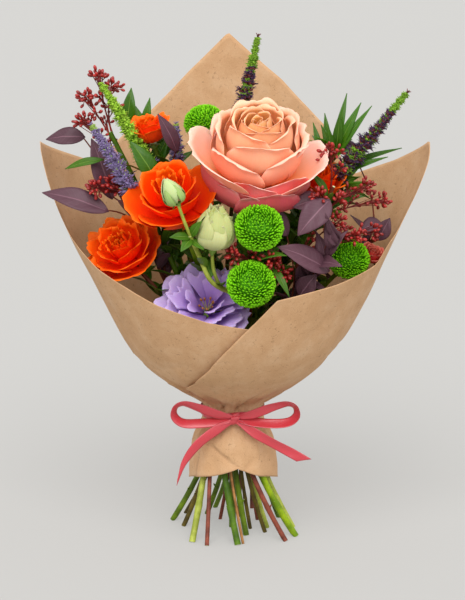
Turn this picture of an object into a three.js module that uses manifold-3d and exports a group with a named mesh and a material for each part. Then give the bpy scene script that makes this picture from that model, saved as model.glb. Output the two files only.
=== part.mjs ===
// A mixed flower bouquet standing on its splayed stems, wrapped in brown paper
// and tied with a satin ribbon. Millimetres; X to the right, Y to the back, Z up.
// The origin is the middle of the cut end of the central (peach rose) stem.
// Each grown or made piece is one closed solid; what would cross another is
// cut back or bent clear by GAP.
import * as THREE from "three";
import { ConvexHull } from "three/addons/math/ConvexHull.js";
import { mergeVertices } from "three/addons/utils/BufferGeometryUtils.js";
import Module from "manifold-3d";

const wasm = await Module();
wasm.setup();

const GAP = 0.35; // clear air kept between pieces that touch by eye
const SEAT = 0.2; // air between a bloom and the stem that it sits on
const GOLDEN = Math.PI * (3 - Math.sqrt(5));
const UP = new THREE.Vector3(0, 0, 1);

const vec = (p) => new THREE.Vector3(...p);
const rad = THREE.MathUtils.degToRad;
const mix = THREE.MathUtils.lerp;

// ---------------------------------------------------------------- numbers

// A small linear congruential generator, so that every draw can be repeated.
function seeded(seed) {
  let state = seed >>> 0;
  return () => {
    state = (Math.imul(state, 1664525) + 1013904223) >>> 0;
    return state / 4294967296;
  };
}

// A smooth curve through the points [x, y] of a table, read at x.
function smoothAt(table, x) {
  const last = table.length - 1;
  if (x <= table[0][0]) return table[0][1];
  if (x >= table[last][0]) return table[last][1];
  let i = 0;
  while (x > table[i + 1][0]) i++;
  const slope = (k) => {
    const [a, b] = [table[Math.max(k - 1, 0)], table[Math.min(k + 1, last)]];
    return (b[1] - a[1]) / (b[0] - a[0]);
  };
  const [[x0, y0], [x1, y1]] = [table[i], table[i + 1]];
  const w = x1 - x0;
  const t = (x - x0) / w;
  const [t2, t3] = [t * t, t * t * t];
  return (2 * t3 - 3 * t2 + 1) * y0 + (t3 - 2 * t2 + t) * w * slope(i)
    + (3 * t2 - 2 * t3) * y1 + (t3 - t2) * w * slope(i + 1);
}

// Straight lines through the same kind of table.
function straightAt(table, x) {
  let i = 0;
  while (i < table.length - 2 && x > table[i + 1][0]) i++;
  const [[x0, y0], [x1, y1]] = [table[i], table[i + 1]];
  return mix(y0, y1, THREE.MathUtils.clamp((x - x0) / (x1 - x0), 0, 1));
}

// ----------------------------------------------------------------- solids

function geometryOf(points, index) {
  const geometry = new THREE.BufferGeometry().setFromPoints(points);
  geometry.setIndex(index);
  return geometry;
}

// A closed geometry as a manifold-3d solid, turned right side out.
function solidOf(geometry) {
  const at = geometry.attributes.position.array;
  const index = Uint32Array.from(geometry.index.array);
  let volume = 0;
  const corner = [new THREE.Vector3(), new THREE.Vector3(), new THREE.Vector3()];
  for (let i = 0; i < index.length; i += 3) {
    corner.forEach((p, j) => p.fromArray(at, 3 * index[i + j]));
    volume += corner[0].dot(corner[1].clone().cross(corner[2]));
  }
  if (volume < 0) {
    for (let i = 0; i < index.length; i += 3) {
      [index[i + 1], index[i + 2]] = [index[i + 2], index[i + 1]];
    }
  }
  const mesh = new wasm.Mesh({
    numProp: 3, vertProperties: Float32Array.from(at), triVerts: index,
  });
  return new wasm.Manifold(mesh);
}

// Rings of equally many points joined in a closed skin. A ring of one point
// is a tip, and an end ring of more is capped.
function skin(rings) {
  const [points, index, starts] = [[], [], []];
  for (const ring of rings) {
    starts.push(points.length);
    points.push(...ring);
  }
  for (let i = 0; i + 1 < rings.length; i++) {
    const [a, b] = [rings[i].length, rings[i + 1].length];
    const [s, t] = [starts[i], starts[i + 1]];
    const n = Math.max(a, b);
    for (let j = 0; j < n; j++) {
      const k = (j + 1) % n;
      if (a > 1) index.push(s + j, s + k, t + (b > 1 ? k : 0));
      if (b > 1) index.push(t + k, t + j, s + (a > 1 ? j : 0));
    }
  }
  const end = starts[rings.length - 1];
  for (let j = 1; j < rings[0].length - 1; j++) index.push(0, j + 1, j);
  for (let j = 1; j < rings.at(-1).length - 1; j++) index.push(end, end + j, end + j + 1);
  return solidOf(geometryOf(points, index));
}

// A sheet of even thickness over at(u, v), both from 0 to 1, cut into the same
// triangles on both faces. us and vs are the places of the grid's lines.
function sheet(at, us, vs, thickness) {
  const [nu, nv] = [us.length, vs.length];
  const middle = vs.map((v) => us.map((u) => at(u, v)));
  const near = (list, i) => list[THREE.MathUtils.clamp(i, 0, list.length - 1)];
  const faces = [[], []];
  for (let j = 0; j < nv; j++) {
    for (let i = 0; i < nu; i++) {
      const along = near(middle[j], i + 1).clone().sub(near(middle[j], i - 1));
      const across = near(middle, j + 1)[i].clone().sub(near(middle, j - 1)[i]);
      const normal = along.cross(across).normalize().multiplyScalar(thickness / 2);
      faces[0].push(middle[j][i].clone().add(normal));
      faces[1].push(middle[j][i].clone().sub(normal));
    }
  }
  const back = nu * nv;
  const index = [];
  for (let j = 0; j + 1 < nv; j++) {
    for (let i = 0; i + 1 < nu; i++) {
      const [a, b, c, d] = [j * nu + i, j * nu + i + 1, (j + 1) * nu + i + 1, (j + 1) * nu + i];
      index.push(a, b, c, a, c, d, back + c, back + b, back + a, back + d, back + c, back + a);
    }
  }
  const rim = [];
  for (let i = 0; i < nu - 1; i++) rim.push(i);
  for (let j = 0; j < nv - 1; j++) rim.push(j * nu + nu - 1);
  for (let i = nu - 1; i > 0; i--) rim.push((nv - 1) * nu + i);
  for (let j = nv - 1; j > 0; j--) rim.push(j * nu);
  rim.forEach((a, i) => {
    const b = rim[(i + 1) % rim.length];
    index.push(b, a, back + a, b, back + a, back + b);
  });
  return solidOf(geometryOf([...faces[0], ...faces[1]], index));
}

// Places along 0 to 1 for a grid of n lines.
const lines = (n) => Array.from({ length: n }, (_, i) => i / (n - 1));

// A round rod of the given radii through points, longer by grow at both ends,
// its first ring level if asked.
function rod(points, radii, sides, grow, levelStart = false) {
  const last = points.length - 1;
  const normal = new THREE.Vector3(1, 0, 0);
  const rings = points.map((p, i) => {
    const ahead = points[Math.min(i + 1, last)];
    const behind = points[Math.max(i - 1, 0)];
    const along = i === 0 && levelStart ? UP.clone() : ahead.clone().sub(behind).normalize();
    normal.addScaledVector(along, -normal.dot(along));
    if (normal.length() < 0.1) normal.set(along.z, along.x, along.y).cross(along);
    normal.normalize();
    const side = along.clone().cross(normal);
    const past = { 0: -grow, [last]: grow }[i] || 0;
    const centre = p.clone().addScaledVector(along, past);
    return Array.from({ length: sides }, (_, j) => {
      const turn = (2 * Math.PI * j) / sides;
      return centre.clone().addScaledVector(normal, radii[i] * Math.cos(turn))
        .addScaledVector(side, radii[i] * Math.sin(turn));
    });
  });
  return skin(rings);
}

const fused = (solids) => wasm.Manifold.union(solids);

// The largest piece of a solid, without sealed hollows and loose scraps.
function largestOf(solid) {
  const pieces = solid.decompose();
  return pieces.reduce((a, b) => (b.volume() > a.volume() ? b : a));
}

// ----------------------------------------------------------------- wrapper

const PAPER = { thick: 0.7, innerEnd: 45, columnsPerTurn: 24, lastTurn: -315, lastColumns: 4 };
const NECK_ROWS = [84, 110, 123, 134]; // heights of the grid's rows above the hem
const CONE_ROWS = [0.14, 0.36, 0.66, 1]; // shares of the way from there to the top edge
// Height above the floor against radius, at the sides, the front and the back.
const PROFILE = {
  side: [[50, 42], [70, 39.5], [90, 34], [104, 28.6], [111, 27], [123, 27], [130, 33], [142, 54],
    [166, 84], [205, 111], [284, 148], [340, 172], [372, 181], [470, 192]],
  front: [[50, 42], [70, 39.5], [90, 34], [104, 28.6], [111, 27], [123, 27], [130, 31], [142, 48],
    [166, 78], [205, 102], [284, 128], [340, 138], [372, 142], [470, 150]],
  back: [[50, 42], [70, 39.5], [90, 34], [104, 28.6], [111, 27], [123, 27], [130, 30], [142, 42],
    [166, 64], [205, 80], [284, 98], [340, 106], [372, 110], [470, 118]],
};
// The top edge: degrees round from the front (to the right), then height. The
// sheet runs left from its inner end, round the back, to its outer end.
const TOP_EDGE = [[-341, 248], [-316, 257], [-293, 269], [-288, 289], [-281, 300], [-275, 342],
  [-265, 372], [-248, 346], [-231, 326], [-221, 370], [-202, 417], [-178, 462], [-160, 424],
  [-145, 388], [-123, 340], [-94, 372], [-88, 325], [-80, 290], [-64, 266], [-48, 254], [-33, 240],
  [-11, 226], [9, 219], [45, 204]];
// The outer end's slanting free edge: height, then degrees.
const FREE_EDGE = [[50, -413], [149, -405], [176, -374], [203, -360], [227, -350], [248, -341]];
const HEM = { low: 50, rise: 20, middle: 6, reach: 60 };
const PLEAT = { count: 12, height: 117, spread: 26, depth: 0.5 };

// What the turns of the sheet add to its radius: each lies outside the one before.
function paperTurns(z, angle) {
  const pitch = mix(1.9, 3.2, THREE.MathUtils.smoothstep(z, 125, 200));
  return ((PAPER.innerEnd - angle) / 360) * pitch;
}

// The sheet's radius at a height and an angle in degrees.
function paperRadius(z, angle) {
  const a = rad(angle);
  const side = Math.sin(a) ** 2;
  const ends = Math.cos(a) > 0 ? PROFILE.front : PROFILE.back;
  const round = smoothAt(PROFILE.side, z) * side + smoothAt(ends, z) * (1 - side);
  const pleat = PLEAT.depth * Math.exp(-(((z - PLEAT.height) / PLEAT.spread) ** 2));
  return round + paperTurns(z, angle) + pleat * Math.cos(PLEAT.count * a);
}

function paperPoint(z, angle) {
  const [a, r] = [rad(angle), paperRadius(z, angle)];
  return new THREE.Vector3(r * Math.sin(a), -r * Math.cos(a), z);
}

function hemHeight(angle) {
  const off = Math.abs(THREE.MathUtils.euclideanModulo(angle - HEM.middle + 180, 360) - 180);
  return HEM.low + HEM.rise * Math.max(0, 1 - off / HEM.reach) ** 1.5;
}

function wrapperSolid(grow = 0) {
  const turnEnd = 0.8; // share of the grid's columns in the first full turn
  const step = 360 / PAPER.columnsPerTurn;
  const turnColumns = (PAPER.innerEnd - PAPER.lastTurn) / step;
  const us = [];
  for (let i = 0; i <= turnColumns; i++) us.push((turnEnd * i) / turnColumns);
  for (let i = 1; i <= PAPER.lastColumns; i++) us.push(mix(turnEnd, 1, i / PAPER.lastColumns));
  const rows = 1 + NECK_ROWS.length + CONE_ROWS.length;
  const [corner] = FREE_EDGE.at(-1);
  const at = (u, v) => {
    const along = THREE.MathUtils.clamp((u - turnEnd) / (1 - turnEnd), 0, 1);
    const full = mix(PAPER.innerEnd, PAPER.lastTurn, Math.min(u / turnEnd, 1));
    const row = Math.round(v * (rows - 1));
    const top = mix(straightAt(TOP_EDGE, full), corner, along);
    const place = (z) => mix(full, straightAt(FREE_EDGE, z), along);
    const cone = CONE_ROWS.map((share) => mix(NECK_ROWS.at(-1), top, share));
    const z = [hemHeight(place(HEM.low)), ...NECK_ROWS, ...cone][row];
    return paperPoint(z, place(z));
  };
  return sheet(at, us, lines(rows), PAPER.thick + 2 * grow);
}

// ------------------------------------------------------------------ ribbon

const RIBBON = { width: 10, thick: 0.8, height: 117, stand: 1.1 };
const KNOT = vec([2, -34.5, 117]);

// A strip through points, its width along the matching directions.
function strip(points, widths, width, thick) {
  const rings = points.map((p, i) => {
    const along = points[Math.min(i + 1, points.length - 1)].clone()
      .sub(points[Math.max(i - 1, 0)]).normalize();
    const across = widths[i].clone().addScaledVector(along, -widths[i].dot(along)).normalize();
    const out = along.clone().cross(across);
    return [[1, 1], [1, -1], [-1, -1], [-1, 1]].map(([a, b]) => p.clone()
      .addScaledVector(across, (a * width) / 2).addScaledVector(out, (b * thick) / 2));
  });
  return skin(rings);
}

function ribbonBand() {
  const [sections, inner, outer] = [20, [], []];
  for (let i = 0; i < sections; i++) {
    const angle = (-360 * i) / sections + 45;
    // Outside the sheet's outer end, the band eases back onto the turn beneath.
    const ease = THREE.MathUtils.smoothstep(angle, -105, -53);
    const outermost = angle > -53 ? angle - 360 : mix(angle, -413, ease);
    const r = paperRadius(RIBBON.height, outermost) + RIBBON.stand;
    inner.push([angle, r - RIBBON.thick / 2]);
    outer.push([angle, r + RIBBON.thick / 2]);
  }
  const half = RIBBON.width / 2;
  const corners = [[inner, -half], [outer, -half], [outer, half], [inner, half]];
  const points = corners.flatMap(([ring, dz]) => ring.map(([angle, r]) => vec(
    [r * Math.sin(rad(angle)), -r * Math.cos(rad(angle)), RIBBON.height + dz])));
  const index = [];
  for (let c = 0; c < 4; c++) {
    for (let i = 0; i < sections; i++) {
      const j = (i + 1) % sections;
      const [a, b] = [c * sections, ((c + 1) % 4) * sections];
      index.push(a + i, a + j, b + j, a + i, b + j, b + i);
    }
  }
  return solidOf(geometryOf(points, index));
}

// A loop of the bow, drawn round its two strands from the knot and back.
const LOOPS = [
  [[0, -37, 118], [-16, -42, 124], [-36, -44, 130.5], [-50, -42, 130], [-56, -39, 123],
    [-52, -37, 114.5], [-40, -37, 111], [-20, -38, 113], [0, -37, 116]],
  [[4, -37, 118], [22, -42, 125], [40, -44, 131], [53, -42, 130.5], [60, -39, 123],
    [56, -37, 114.5], [42, -37, 111], [22, -38, 113], [4, -37, 116]],
];
const TAILS = [
  [[0, -37.5, 115.5], [-14, -41.5, 107], [-32, -44, 92], [-44, -44, 76], [-51, -43, 58]],
  [[4, -37.5, 115.5], [20, -42.5, 107], [36, -44, 96], [52, -44, 87], [68, -44, 80]],
];

function ribbonSolid() {
  const parts = [ribbonBand()];
  for (const loop of LOOPS) {
    const curve = new THREE.CatmullRomCurve3(loop.map(vec));
    const points = curve.getPoints(10);
    const centre = vec([loop[4][0] * 0.55, -40, 120.5]);
    const widths = points.map((p) => {
      const outward = p.clone().sub(centre).setY(0).normalize();
      return outward.multiplyScalar(0.62).add(vec([0, -0.78, 0]));
    });
    parts.push(strip(points, widths, RIBBON.width, RIBBON.thick));
  }
  for (const tail of TAILS) {
    const points = new THREE.CatmullRomCurve3(tail.map(vec)).getPoints(6);
    const side = Math.sign(tail[4][0]);
    parts.push(strip(points, points.map(() => vec([side * 0.6, -0.15, 0.8])),
      RIBBON.width, RIBBON.thick));
  }
  const knot = [];
  for (const [x, size] of [[-6.5, 3.2], [-3, 5.6], [3, 5.6], [6.5, 3.2]]) {
    knot.push(Array.from({ length: 6 }, (_, i) => vec([KNOT.x + x,
      KNOT.y + size * 0.75 * Math.cos((i * Math.PI) / 3), KNOT.z + size * Math.sin((i * Math.PI) / 3)])));
  }
  parts.push(skin(knot));
  return fused(parts);
}

// The twine that binds the stems under the paper.
function twineSolid() {
  const profile = [[24.9, 113], [25.6, 113], [25.6, 121], [24.9, 121], [24.9, 113]];
  const ring = new THREE.LatheGeometry(profile.map((p) => new THREE.Vector2(...p)), 16);
  ring.rotateX(Math.PI / 2).deleteAttribute("normal").deleteAttribute("uv");
  const closed = mergeVertices(ring, 1e-3);
  return solidOf(closed);
}

// ------------------------------------------------------------------- stems

const WAIST = { height: 117, draw: 0.36, turn: -40, room: 24.1 };
const LEVEL = WAIST.height / 5; // height between two rings of a stem
const CLEAR = 1.2; // air kept between stems, which lean past one another
const BOUND = 0.6; // and where the twine binds them

// Cut end on the floor, top, radius and colour of each plant's main stem.
const STEMS = {
  peach_rose: { foot: [0, 0], top: [22.5, -42, 357], radius: 3.3, colour: "#4c7a22" },
  orange_rose_a: { foot: [60, -29], top: [-52, -54, 320], radius: 3.2, colour: "#6ba51e" },
  orange_rose_b: { foot: [50, -44], top: [-96, -24, 268], radius: 2.4, colour: "#8e4a32" },
  orange_rose_c: { foot: [-25, 41], top: [76, -10, 323], radius: 2.4, colour: "#5b7f2a" },
  orange_rose_e: { foot: [13, -26], top: [-73, -4, 371], radius: 2.8, colour: "#4f8a26" },
  white_lisianthus: { foot: [58, -1], top: [-38, -95, 303], radius: 2.6, colour: "#7da548" },
  purple_lisianthus: { foot: [33, -3], top: [-23, -46, 220], radius: 2.5, colour: "#6f8b33" },
  mum_front: { foot: [45, 30], top: [23.7, -79.6, 301], radius: 2.6, colour: "#4e7d27" },
  mum_right: { foot: [-17, 62], top: [103.4, -26.5, 261.4], radius: 2.4, colour: "#577f2a" },
  mum_back: { foot: [10, -52.5], top: [-24.4, 9.9, 378.6], radius: 1.3, colour: "#b98752" },
  spike_back: { foot: [-47, 2], top: [7, 24, 394], radius: 2.3, colour: "#6b5a22" },
  spike_right: { foot: [-46, 43], top: [97, -15, 344], radius: 2, colour: "#6a7a2c" },
  spike_left: { foot: [31, -17], top: [-76, -20, 353], radius: 2, colour: "#6b6a2a" },
  spike_middle: { foot: [17, -6], top: [-52, -13, 346], radius: 1.8, colour: "#6b6a2a" },
  bud_spray_left: { foot: [5, -55.5], top: [-113, -12, 384], radius: 3.1, colour: "#7c3a2a" },
  bud_spray_right: { foot: [19, 59], top: [92, -52, 340], radius: 1.9, colour: "#7c3a2a" },
  bud_spray_front: { foot: [24, 22], top: [20, -76, 270], radius: 1.7, colour: "#7c3a2a" },
  dark_leaves_left: { foot: [-24, -58], top: [-118, -8, 350], radius: 2, colour: "#5b3a45" },
  dark_leaves_front: { foot: [6, 32], top: [78, -66, 268], radius: 1.7, colour: "#5b3a45" },
  dark_leaves_right: { foot: [-12, 24], top: [134, -8, 285], radius: 1.7, colour: "#5b3a45" },
  green_leaves_left: { foot: [-38, -47], top: [-84, 2, 380], radius: 3.1, colour: "#3f7a2a" },
  green_leaves_right: { foot: [-58, 21], top: [96, 2, 362], radius: 2.7, colour: "#2f6b1e" },
};

// Balls round the blooms that stems lean clear of, each with its own stem.
const KEEP_OUT = [
  ["peach_rose", [24, -52, 376], 38], ["orange_rose_a", [-54.7, -62, 334], 33],
  ["orange_rose_b", [-103, -30, 281], 30], ["orange_rose_c", [79, -15, 337], 22],
  ["orange_rose_e", [-76, -8, 385], 18], ["purple_lisianthus", [-23, -60, 236], 30],
  ["white_lisianthus", [-56, -105, 348], 12], ["", [-14, -92, 312], 20],
  ["mum_front", [23.7, -90, 309], 23.5], ["", [16.6, -93, 258], 24],
  ["mum_right", [106.4, -35, 269.4], 22], ["mum_back", [-24.6, 5, 389], 22],
  ["", [131, -26, 275], 13],
];

// Every stem's points, level by level: a spiral through the waist, then pushed
// apart in each level until none touches another, a bloom or the paper.
function routeStems() {
  const names = Object.keys(STEMS);
  const routes = Object.fromEntries(names.map((name) => [name, []]));
  const turn = rad(WAIST.turn);
  for (let level = 0; level < 18; level++) {
    const z = level * LEVEL;
    const here = names.filter((name) => STEMS[name].top[2] > z + LEVEL * 0.4);
    const spots = here.map((name) => {
      const { foot, top } = STEMS[name];
      const waist = [Math.cos(turn) * foot[0] - Math.sin(turn) * foot[1],
        Math.sin(turn) * foot[0] + Math.cos(turn) * foot[1]].map((c) => c * WAIST.draw);
      const below = z < WAIST.height;
      const end = below ? foot : top;
      const reach = below ? (WAIST.height - z) / WAIST.height
        : (z - WAIST.height) / (top[2] - WAIST.height);
      const share = reach ** (below ? 1.5 : 1.35);
      return [mix(waist[0], end[0], share), mix(waist[1], end[1], share)];
    });
    if (level > 0) spreadOut(here, spots, z);
    here.forEach((name, i) => routes[name].push(vec([...spots[i], z])));
  }
  for (const name of names) routes[name].push(vec(STEMS[name].top));
  return routes;
}

function paperRoom(x, y, z) {
  if (z < HEM.low) return Infinity;
  if (Math.abs(z - WAIST.height) < 9) return WAIST.room;
  const angle = THREE.MathUtils.radToDeg(Math.atan2(x, -y));
  return paperRadius(z, angle) - paperTurns(z, angle) - PAPER.thick / 2 - PLEAT.depth - GAP;
}

function spreadOut(here, spots, z) {
  const wide = 1.12; // a leaning stem is wider in a level cut
  const clear = z === WAIST.height ? BOUND : CLEAR;
  for (let round = 0; round < 120; round++) {
    for (let i = 0; i < here.length; i++) {
      const own = STEMS[here[i]].radius * wide;
      for (let j = i + 1; j < here.length; j++) {
        const need = own + STEMS[here[j]].radius * wide + clear;
        const [dx, dy] = [spots[i][0] - spots[j][0], spots[i][1] - spots[j][1]];
        const far = Math.max(Math.hypot(dx, dy), 0.01);
        if (far >= need) continue;
        const push = (need - far) / far / 2;
        spots[i] = [spots[i][0] + dx * push, spots[i][1] + dy * push];
        spots[j] = [spots[j][0] - dx * push, spots[j][1] - dy * push];
      }
      for (const [owner, centre, ball] of KEEP_OUT) {
        const high = Math.abs(z - centre[2]);
        if (owner === here[i] || high >= ball) continue;
        const need = Math.sqrt(ball * ball - high * high) + own + CLEAR;
        const [dx, dy] = [spots[i][0] - centre[0], spots[i][1] - centre[1]];
        const far = Math.max(Math.hypot(dx, dy), 0.01);
        if (far < need) spots[i] = [centre[0] + (dx * need) / far, centre[1] + (dy * need) / far];
      }
      const [x, y] = spots[i];
      const room = paperRoom(x, y, z) - own;
      const out = Math.hypot(x, y);
      if (out > room) spots[i] = [(x * room) / out, (y * room) / out];
    }
  }
}

const ROUTES = routeStems();

// The middle of a stem at a height.
function stemAt(name, z) {
  const route = ROUTES[name];
  let i = 0;
  while (i < route.length - 2 && z > route[i + 1].z) i++;
  return route[i].clone().lerp(route[i + 1], (z - route[i].z) / (route[i + 1].z - route[i].z));
}

function stemSolid(name, grow) {
  const route = ROUTES[name];
  const { radius } = STEMS[name];
  const radii = route.map((p) => mix(radius, Math.max(radius * 0.75, 1.2), p.z / 400) + grow);
  return rod(route, radii, radius > 2.2 ? 5 : 4, grow, true);
}

// A thin side branch from a stem at a height to an end, bent sideways by bend.
function twig(name, z, end, radius, bend, grow, steps = 4) {
  const start = stemAt(name, z);
  const rise = stemAt(name, z + 20).sub(start).normalize();
  const control = start.clone().addScaledVector(rise, start.distanceTo(end) * 0.45).add(bend);
  const points = new THREE.QuadraticBezierCurve3(start, control, end).getPoints(steps);
  const radii = points.map(() => radius + grow);
  return rod(points, radii, radius < 1.6 ? 3 : 4, grow);
}

// ------------------------------------------------------------------ blooms

// The axes of a bloom that faces along aim, its own X kept to the right.
function facing(base, aim) {
  const z = vec(aim).normalize();
  const x = new THREE.Vector3(1, 0, 0).addScaledVector(z, -z.x).normalize();
  const y = z.clone().cross(x);
  return new THREE.Matrix4().makeBasis(x, y, z).setPosition(vec(base));
}

function bezier(c, t) {
  const s = 1 - t;
  return c[0] * s ** 3 + 3 * c[1] * s * s * t + 3 * c[2] * s * t * t + c[3] * t ** 3;
}

// A petal of a layer: r and h are the curves of its middle line from root to
// tip, half its half width in degrees round the bloom, drop how far its sides
// hang, wrap how far one side stands out, wave how high its edge ripples.
function petal(frame, layer, angle, scale, grow) {
  const phi = rad(angle);
  const past = 1 + grow / (22 * scale); // a grown petal is longer and wider too
  const at = (u, share) => {
    const side = (2 * u - 1) * past;
    const v = share * past;
    const wide = rad(layer.half) * Math.sin(Math.PI * (0.05 + 0.83 * v)) ** 0.6;
    const r = bezier(layer.r, v) + layer.wrap * side * v;
    const h = bezier(layer.h, v) - layer.drop * side * side * v
      + layer.wave * v * Math.sin(7 * side + 5 * phi);
    const theta = phi + side * wide;
    return new THREE.Vector3(r * Math.cos(theta), r * Math.sin(theta), h)
      .multiplyScalar(scale).applyMatrix4(frame);
  };
  return sheet(at, lines(layer.columns), lines(layer.rows), scale ** 0.5 + 2 * grow);
}

// A closed heart of rolled petals: rings of radius r at height h.
function heart(frame, rings, sides, grow, twist = 0, lobes = 0) {
  const shape = rings.map(([r, h], i) => Array.from({ length: sides }, (_, j) => {
    const turn = (2 * Math.PI * j) / sides + twist * i;
    const out = (r + grow) * (1 + lobes * (-1) ** j);
    const past = { 0: -grow, [rings.length - 1]: grow }[i] || 0;
    return new THREE.Vector3(out * Math.cos(turn), out * Math.sin(turn), h + past).applyMatrix4(frame);
  }));
  return skin(shape);
}

const CUP = { drop: 3, wrap: 1.5, wave: 0, columns: 3, rows: 4 };
const ROSE_LAYERS = {
  high: [
    { ...CUP, angles: [90, 210, 330], r: [4, 15, 16, 9], h: [0, 14, 35, 50], half: 56 },
    { ...CUP, angles: [50, 140, 230, 320], r: [4, 23, 25, 22], h: [0, 10, 32, 48], half: 42, rows: 3 },
    { ...CUP, angles: [80, 152, 224, 296, 8], r: [4, 33, 33, 37], h: [-1, 5, 26, 41], half: 35 },
    { ...CUP, angles: [170, 10], r: [4, 40, 46, 63], h: [-2, 0, 20, 28], half: 30, drop: -3, columns: 4 },
    { ...CUP, angles: [-135, -90, -45, 60, 120], r: [4, 44, 44, 56], h: [-3, -6, 4, 7], half: 23 },
  ],
  open: [
    { ...CUP, angles: [30, 150, 270], r: [4, 12, 12, 14], h: [0, 12, 24, 31], half: 54, rows: 3 },
    { ...CUP, angles: [80, 170, 260, 350], r: [4, 20, 22, 26], h: [0, 8, 24, 33], half: 42, rows: 3 },
    { ...CUP, angles: [40, 112, 184, 256, 328], r: [4, 33, 34, 44], h: [-1, 2, 18, 26], half: 34, rows: 3 },
    { ...CUP, angles: [10, 100, 190, 280], r: [4, 42, 46, 58], h: [-3, -4, 6, 13], half: 30, rows: 3 },
  ],
  spray: [
    { ...CUP, angles: [30, 120, 210, 300], r: [4, 28, 32, 42], h: [1, 4, 26, 38], half: 41, rows: 3 },
  ],
};
const ROSE_HEARTS = {
  high: [[8, -6], [11, 4], [11, 28], [3, 50]],
  open: [[8, -6], [10, 4], [9, 20], [3, 32]],
  spray: [[8, -5], [16, 10], [15, 30], [5, 42]],
};
const ROSES = {
  peach_rose: { aim: [0.03, -0.45, 0.89], size: 1, form: "high", colour: "#f49a7f" },
  orange_rose_a: { aim: [-0.15, -0.6, 0.79], size: 0.72, form: "open", colour: "#ff5a12" },
  orange_rose_b: { aim: [-0.3, -0.7, 0.65], size: 0.66, form: "open", colour: "#ff5a12" },
  orange_rose_c: { aim: [0.2, -0.4, 0.89], size: 0.6, form: "spray", colour: "#ff5a12" },
  orange_rose_e: { aim: [-0.2, -0.3, 0.93], size: 0.5, form: "spray", colour: "#ff5a12" },
};

const CORAL = { base: [126.6, -20.4, 265.4], aim: [0.3, -0.5, 0.8], size: 0.3, form: "spray" };

function roseSolid(base, { aim, size, form }, grow) {
  const frame = facing(base, aim);
  const rings = ROSE_HEARTS[form].map(([r, h]) => [r * size, h * size]);
  const parts = [heart(frame, rings, 6, grow)];
  for (const layer of ROSE_LAYERS[form]) {
    for (const angle of layer.angles) parts.push(petal(frame, layer, angle, size, grow));
  }
  return fused(parts);
}

// The green cup under a bloom.
function calyx(base, aim, size, grow) {
  return heart(facing(base, aim), [[1.5, -9 * size], [5 * size, -4 * size], [5.6 * size, 0.5]], 6, grow);
}

// A button mum: a ball of florets, each a peak between the dips around it.
function mumSolid(centre, aim, radius, grow) {
  const count = 40;
  const dip = 0.84; // depth of the dips, as a share of the radius
  const frame = facing(centre, aim);
  const peaks = Array.from({ length: count }, (_, i) => {
    const z = 1 - (2 * i + 1) / count;
    const flat = Math.sqrt(1 - z * z);
    return new THREE.Vector3(flat * Math.cos(i * GOLDEN), flat * Math.sin(i * GOLDEN), z);
  });
  const hull = new ConvexHull().setFromPoints(peaks.map((p) => p.clone()));
  const points = peaks.map((p) => p.clone());
  const keyOf = (p) => peaks.findIndex((q) => q.distanceToSquared(p) < 1e-10);
  const dips = new Map();
  for (const face of hull.faces) {
    dips.set(face, points.length);
    const corners = [face.edge, face.edge.next, face.edge.prev].map((e) => e.head().point);
    const middle = corners[0].clone().add(corners[1]).add(corners[2]).normalize();
    points.push(middle.multiplyScalar(dip));
  }
  const index = [];
  for (const face of hull.faces) {
    for (const edge of [face.edge, face.edge.next, face.edge.prev]) {
      index.push(keyOf(edge.head().point), dips.get(face), dips.get(edge.twin.face));
    }
  }
  points.forEach((p) => {
    const flatten = p.z < 0 ? 0.62 : 0.86;
    p.multiplyScalar(radius + grow).multiply(new THREE.Vector3(1, 1, flatten)).applyMatrix4(frame);
  });
  return solidOf(geometryOf(points, index));
}

const MUMS = {
  mum_head_upper: { stem: "mum_front", centre: [23.7, -90, 309], aim: [0, -0.8, 0.6], radius: 22.5 },
  mum_head_lower: { stem: "mum_front", centre: [16.6, -93, 258], aim: [0.05, -0.8, 0.6], radius: 22.5 },
  mum_head_right: {
    stem: "mum_right", centre: [106.4, -35, 269.4], aim: [0.25, -0.7, 0.66], radius: 20.5,
  },
  mum_head_back: { stem: "mum_back", centre: [-25.6, 6.4, 389], aim: [-0.1, -0.3, 0.95], radius: 20 },
};

// A flower spike: whorls of four florets, each turned from the one below.
function spikeSolid(base, tip, width, grow) {
  const [from, to] = [vec(base), vec(tip)];
  const length = from.distanceTo(to);
  const frame = facing(base, to.clone().sub(from).toArray());
  const whorls = Math.round(length / 11);
  const rings = [];
  const ring = (z, radius, lobes, turn) => Array.from({ length: 8 }, (_, j) => {
    const a = (Math.PI * j) / 4 + turn;
    const r = radius * (j % 2 ? 1 : lobes) + grow;
    return new THREE.Vector3(r * Math.cos(a), r * Math.sin(a), z).applyMatrix4(frame);
  });
  for (let k = 0; k < whorls; k++) {
    const share = k / whorls;
    const full = (width / 2) * (1 - 0.62 * share ** 1.6);
    const turn = (k * Math.PI) / 4;
    rings.push(ring((length * (k + 0.05)) / whorls, full * 0.42, 1, turn));
    rings.push(ring((length * (k + 0.75)) / whorls, full, 0.52, turn));
  }
  rings.push([to.clone()]);
  return skin(rings);
}

const SPIKES = {
  spike_head_back: {
    stem: "spike_back", base: [6.8, 24, 393], tip: [23.7, 30, 468], width: 17, colour: "#4b3a63",
  },
  spike_head_right: {
    stem: "spike_right", base: [96.4, -15.1, 343.2], tip: [161, -5, 420], width: 19, colour: "#4b3a63",
  },
  spike_head_green: {
    stem: "spike_left", base: [-75.5, -20, 352.1], tip: [-122, -15, 431.5], width: 22, colour: "#6fa32b",
  },
  spike_head_mauve: {
    stem: "spike_left", base: [-91.7, -50.2, 335.5], tip: [-128.7, -35, 393.8], width: 24,
    colour: "#7668a0",
  },
  spike_head_middle: {
    stem: "spike_middle", base: [-52, -13.2, 345], tip: [-52.2, -2, 390], width: 21, colour: "#7668a0",
  },
};

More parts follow.
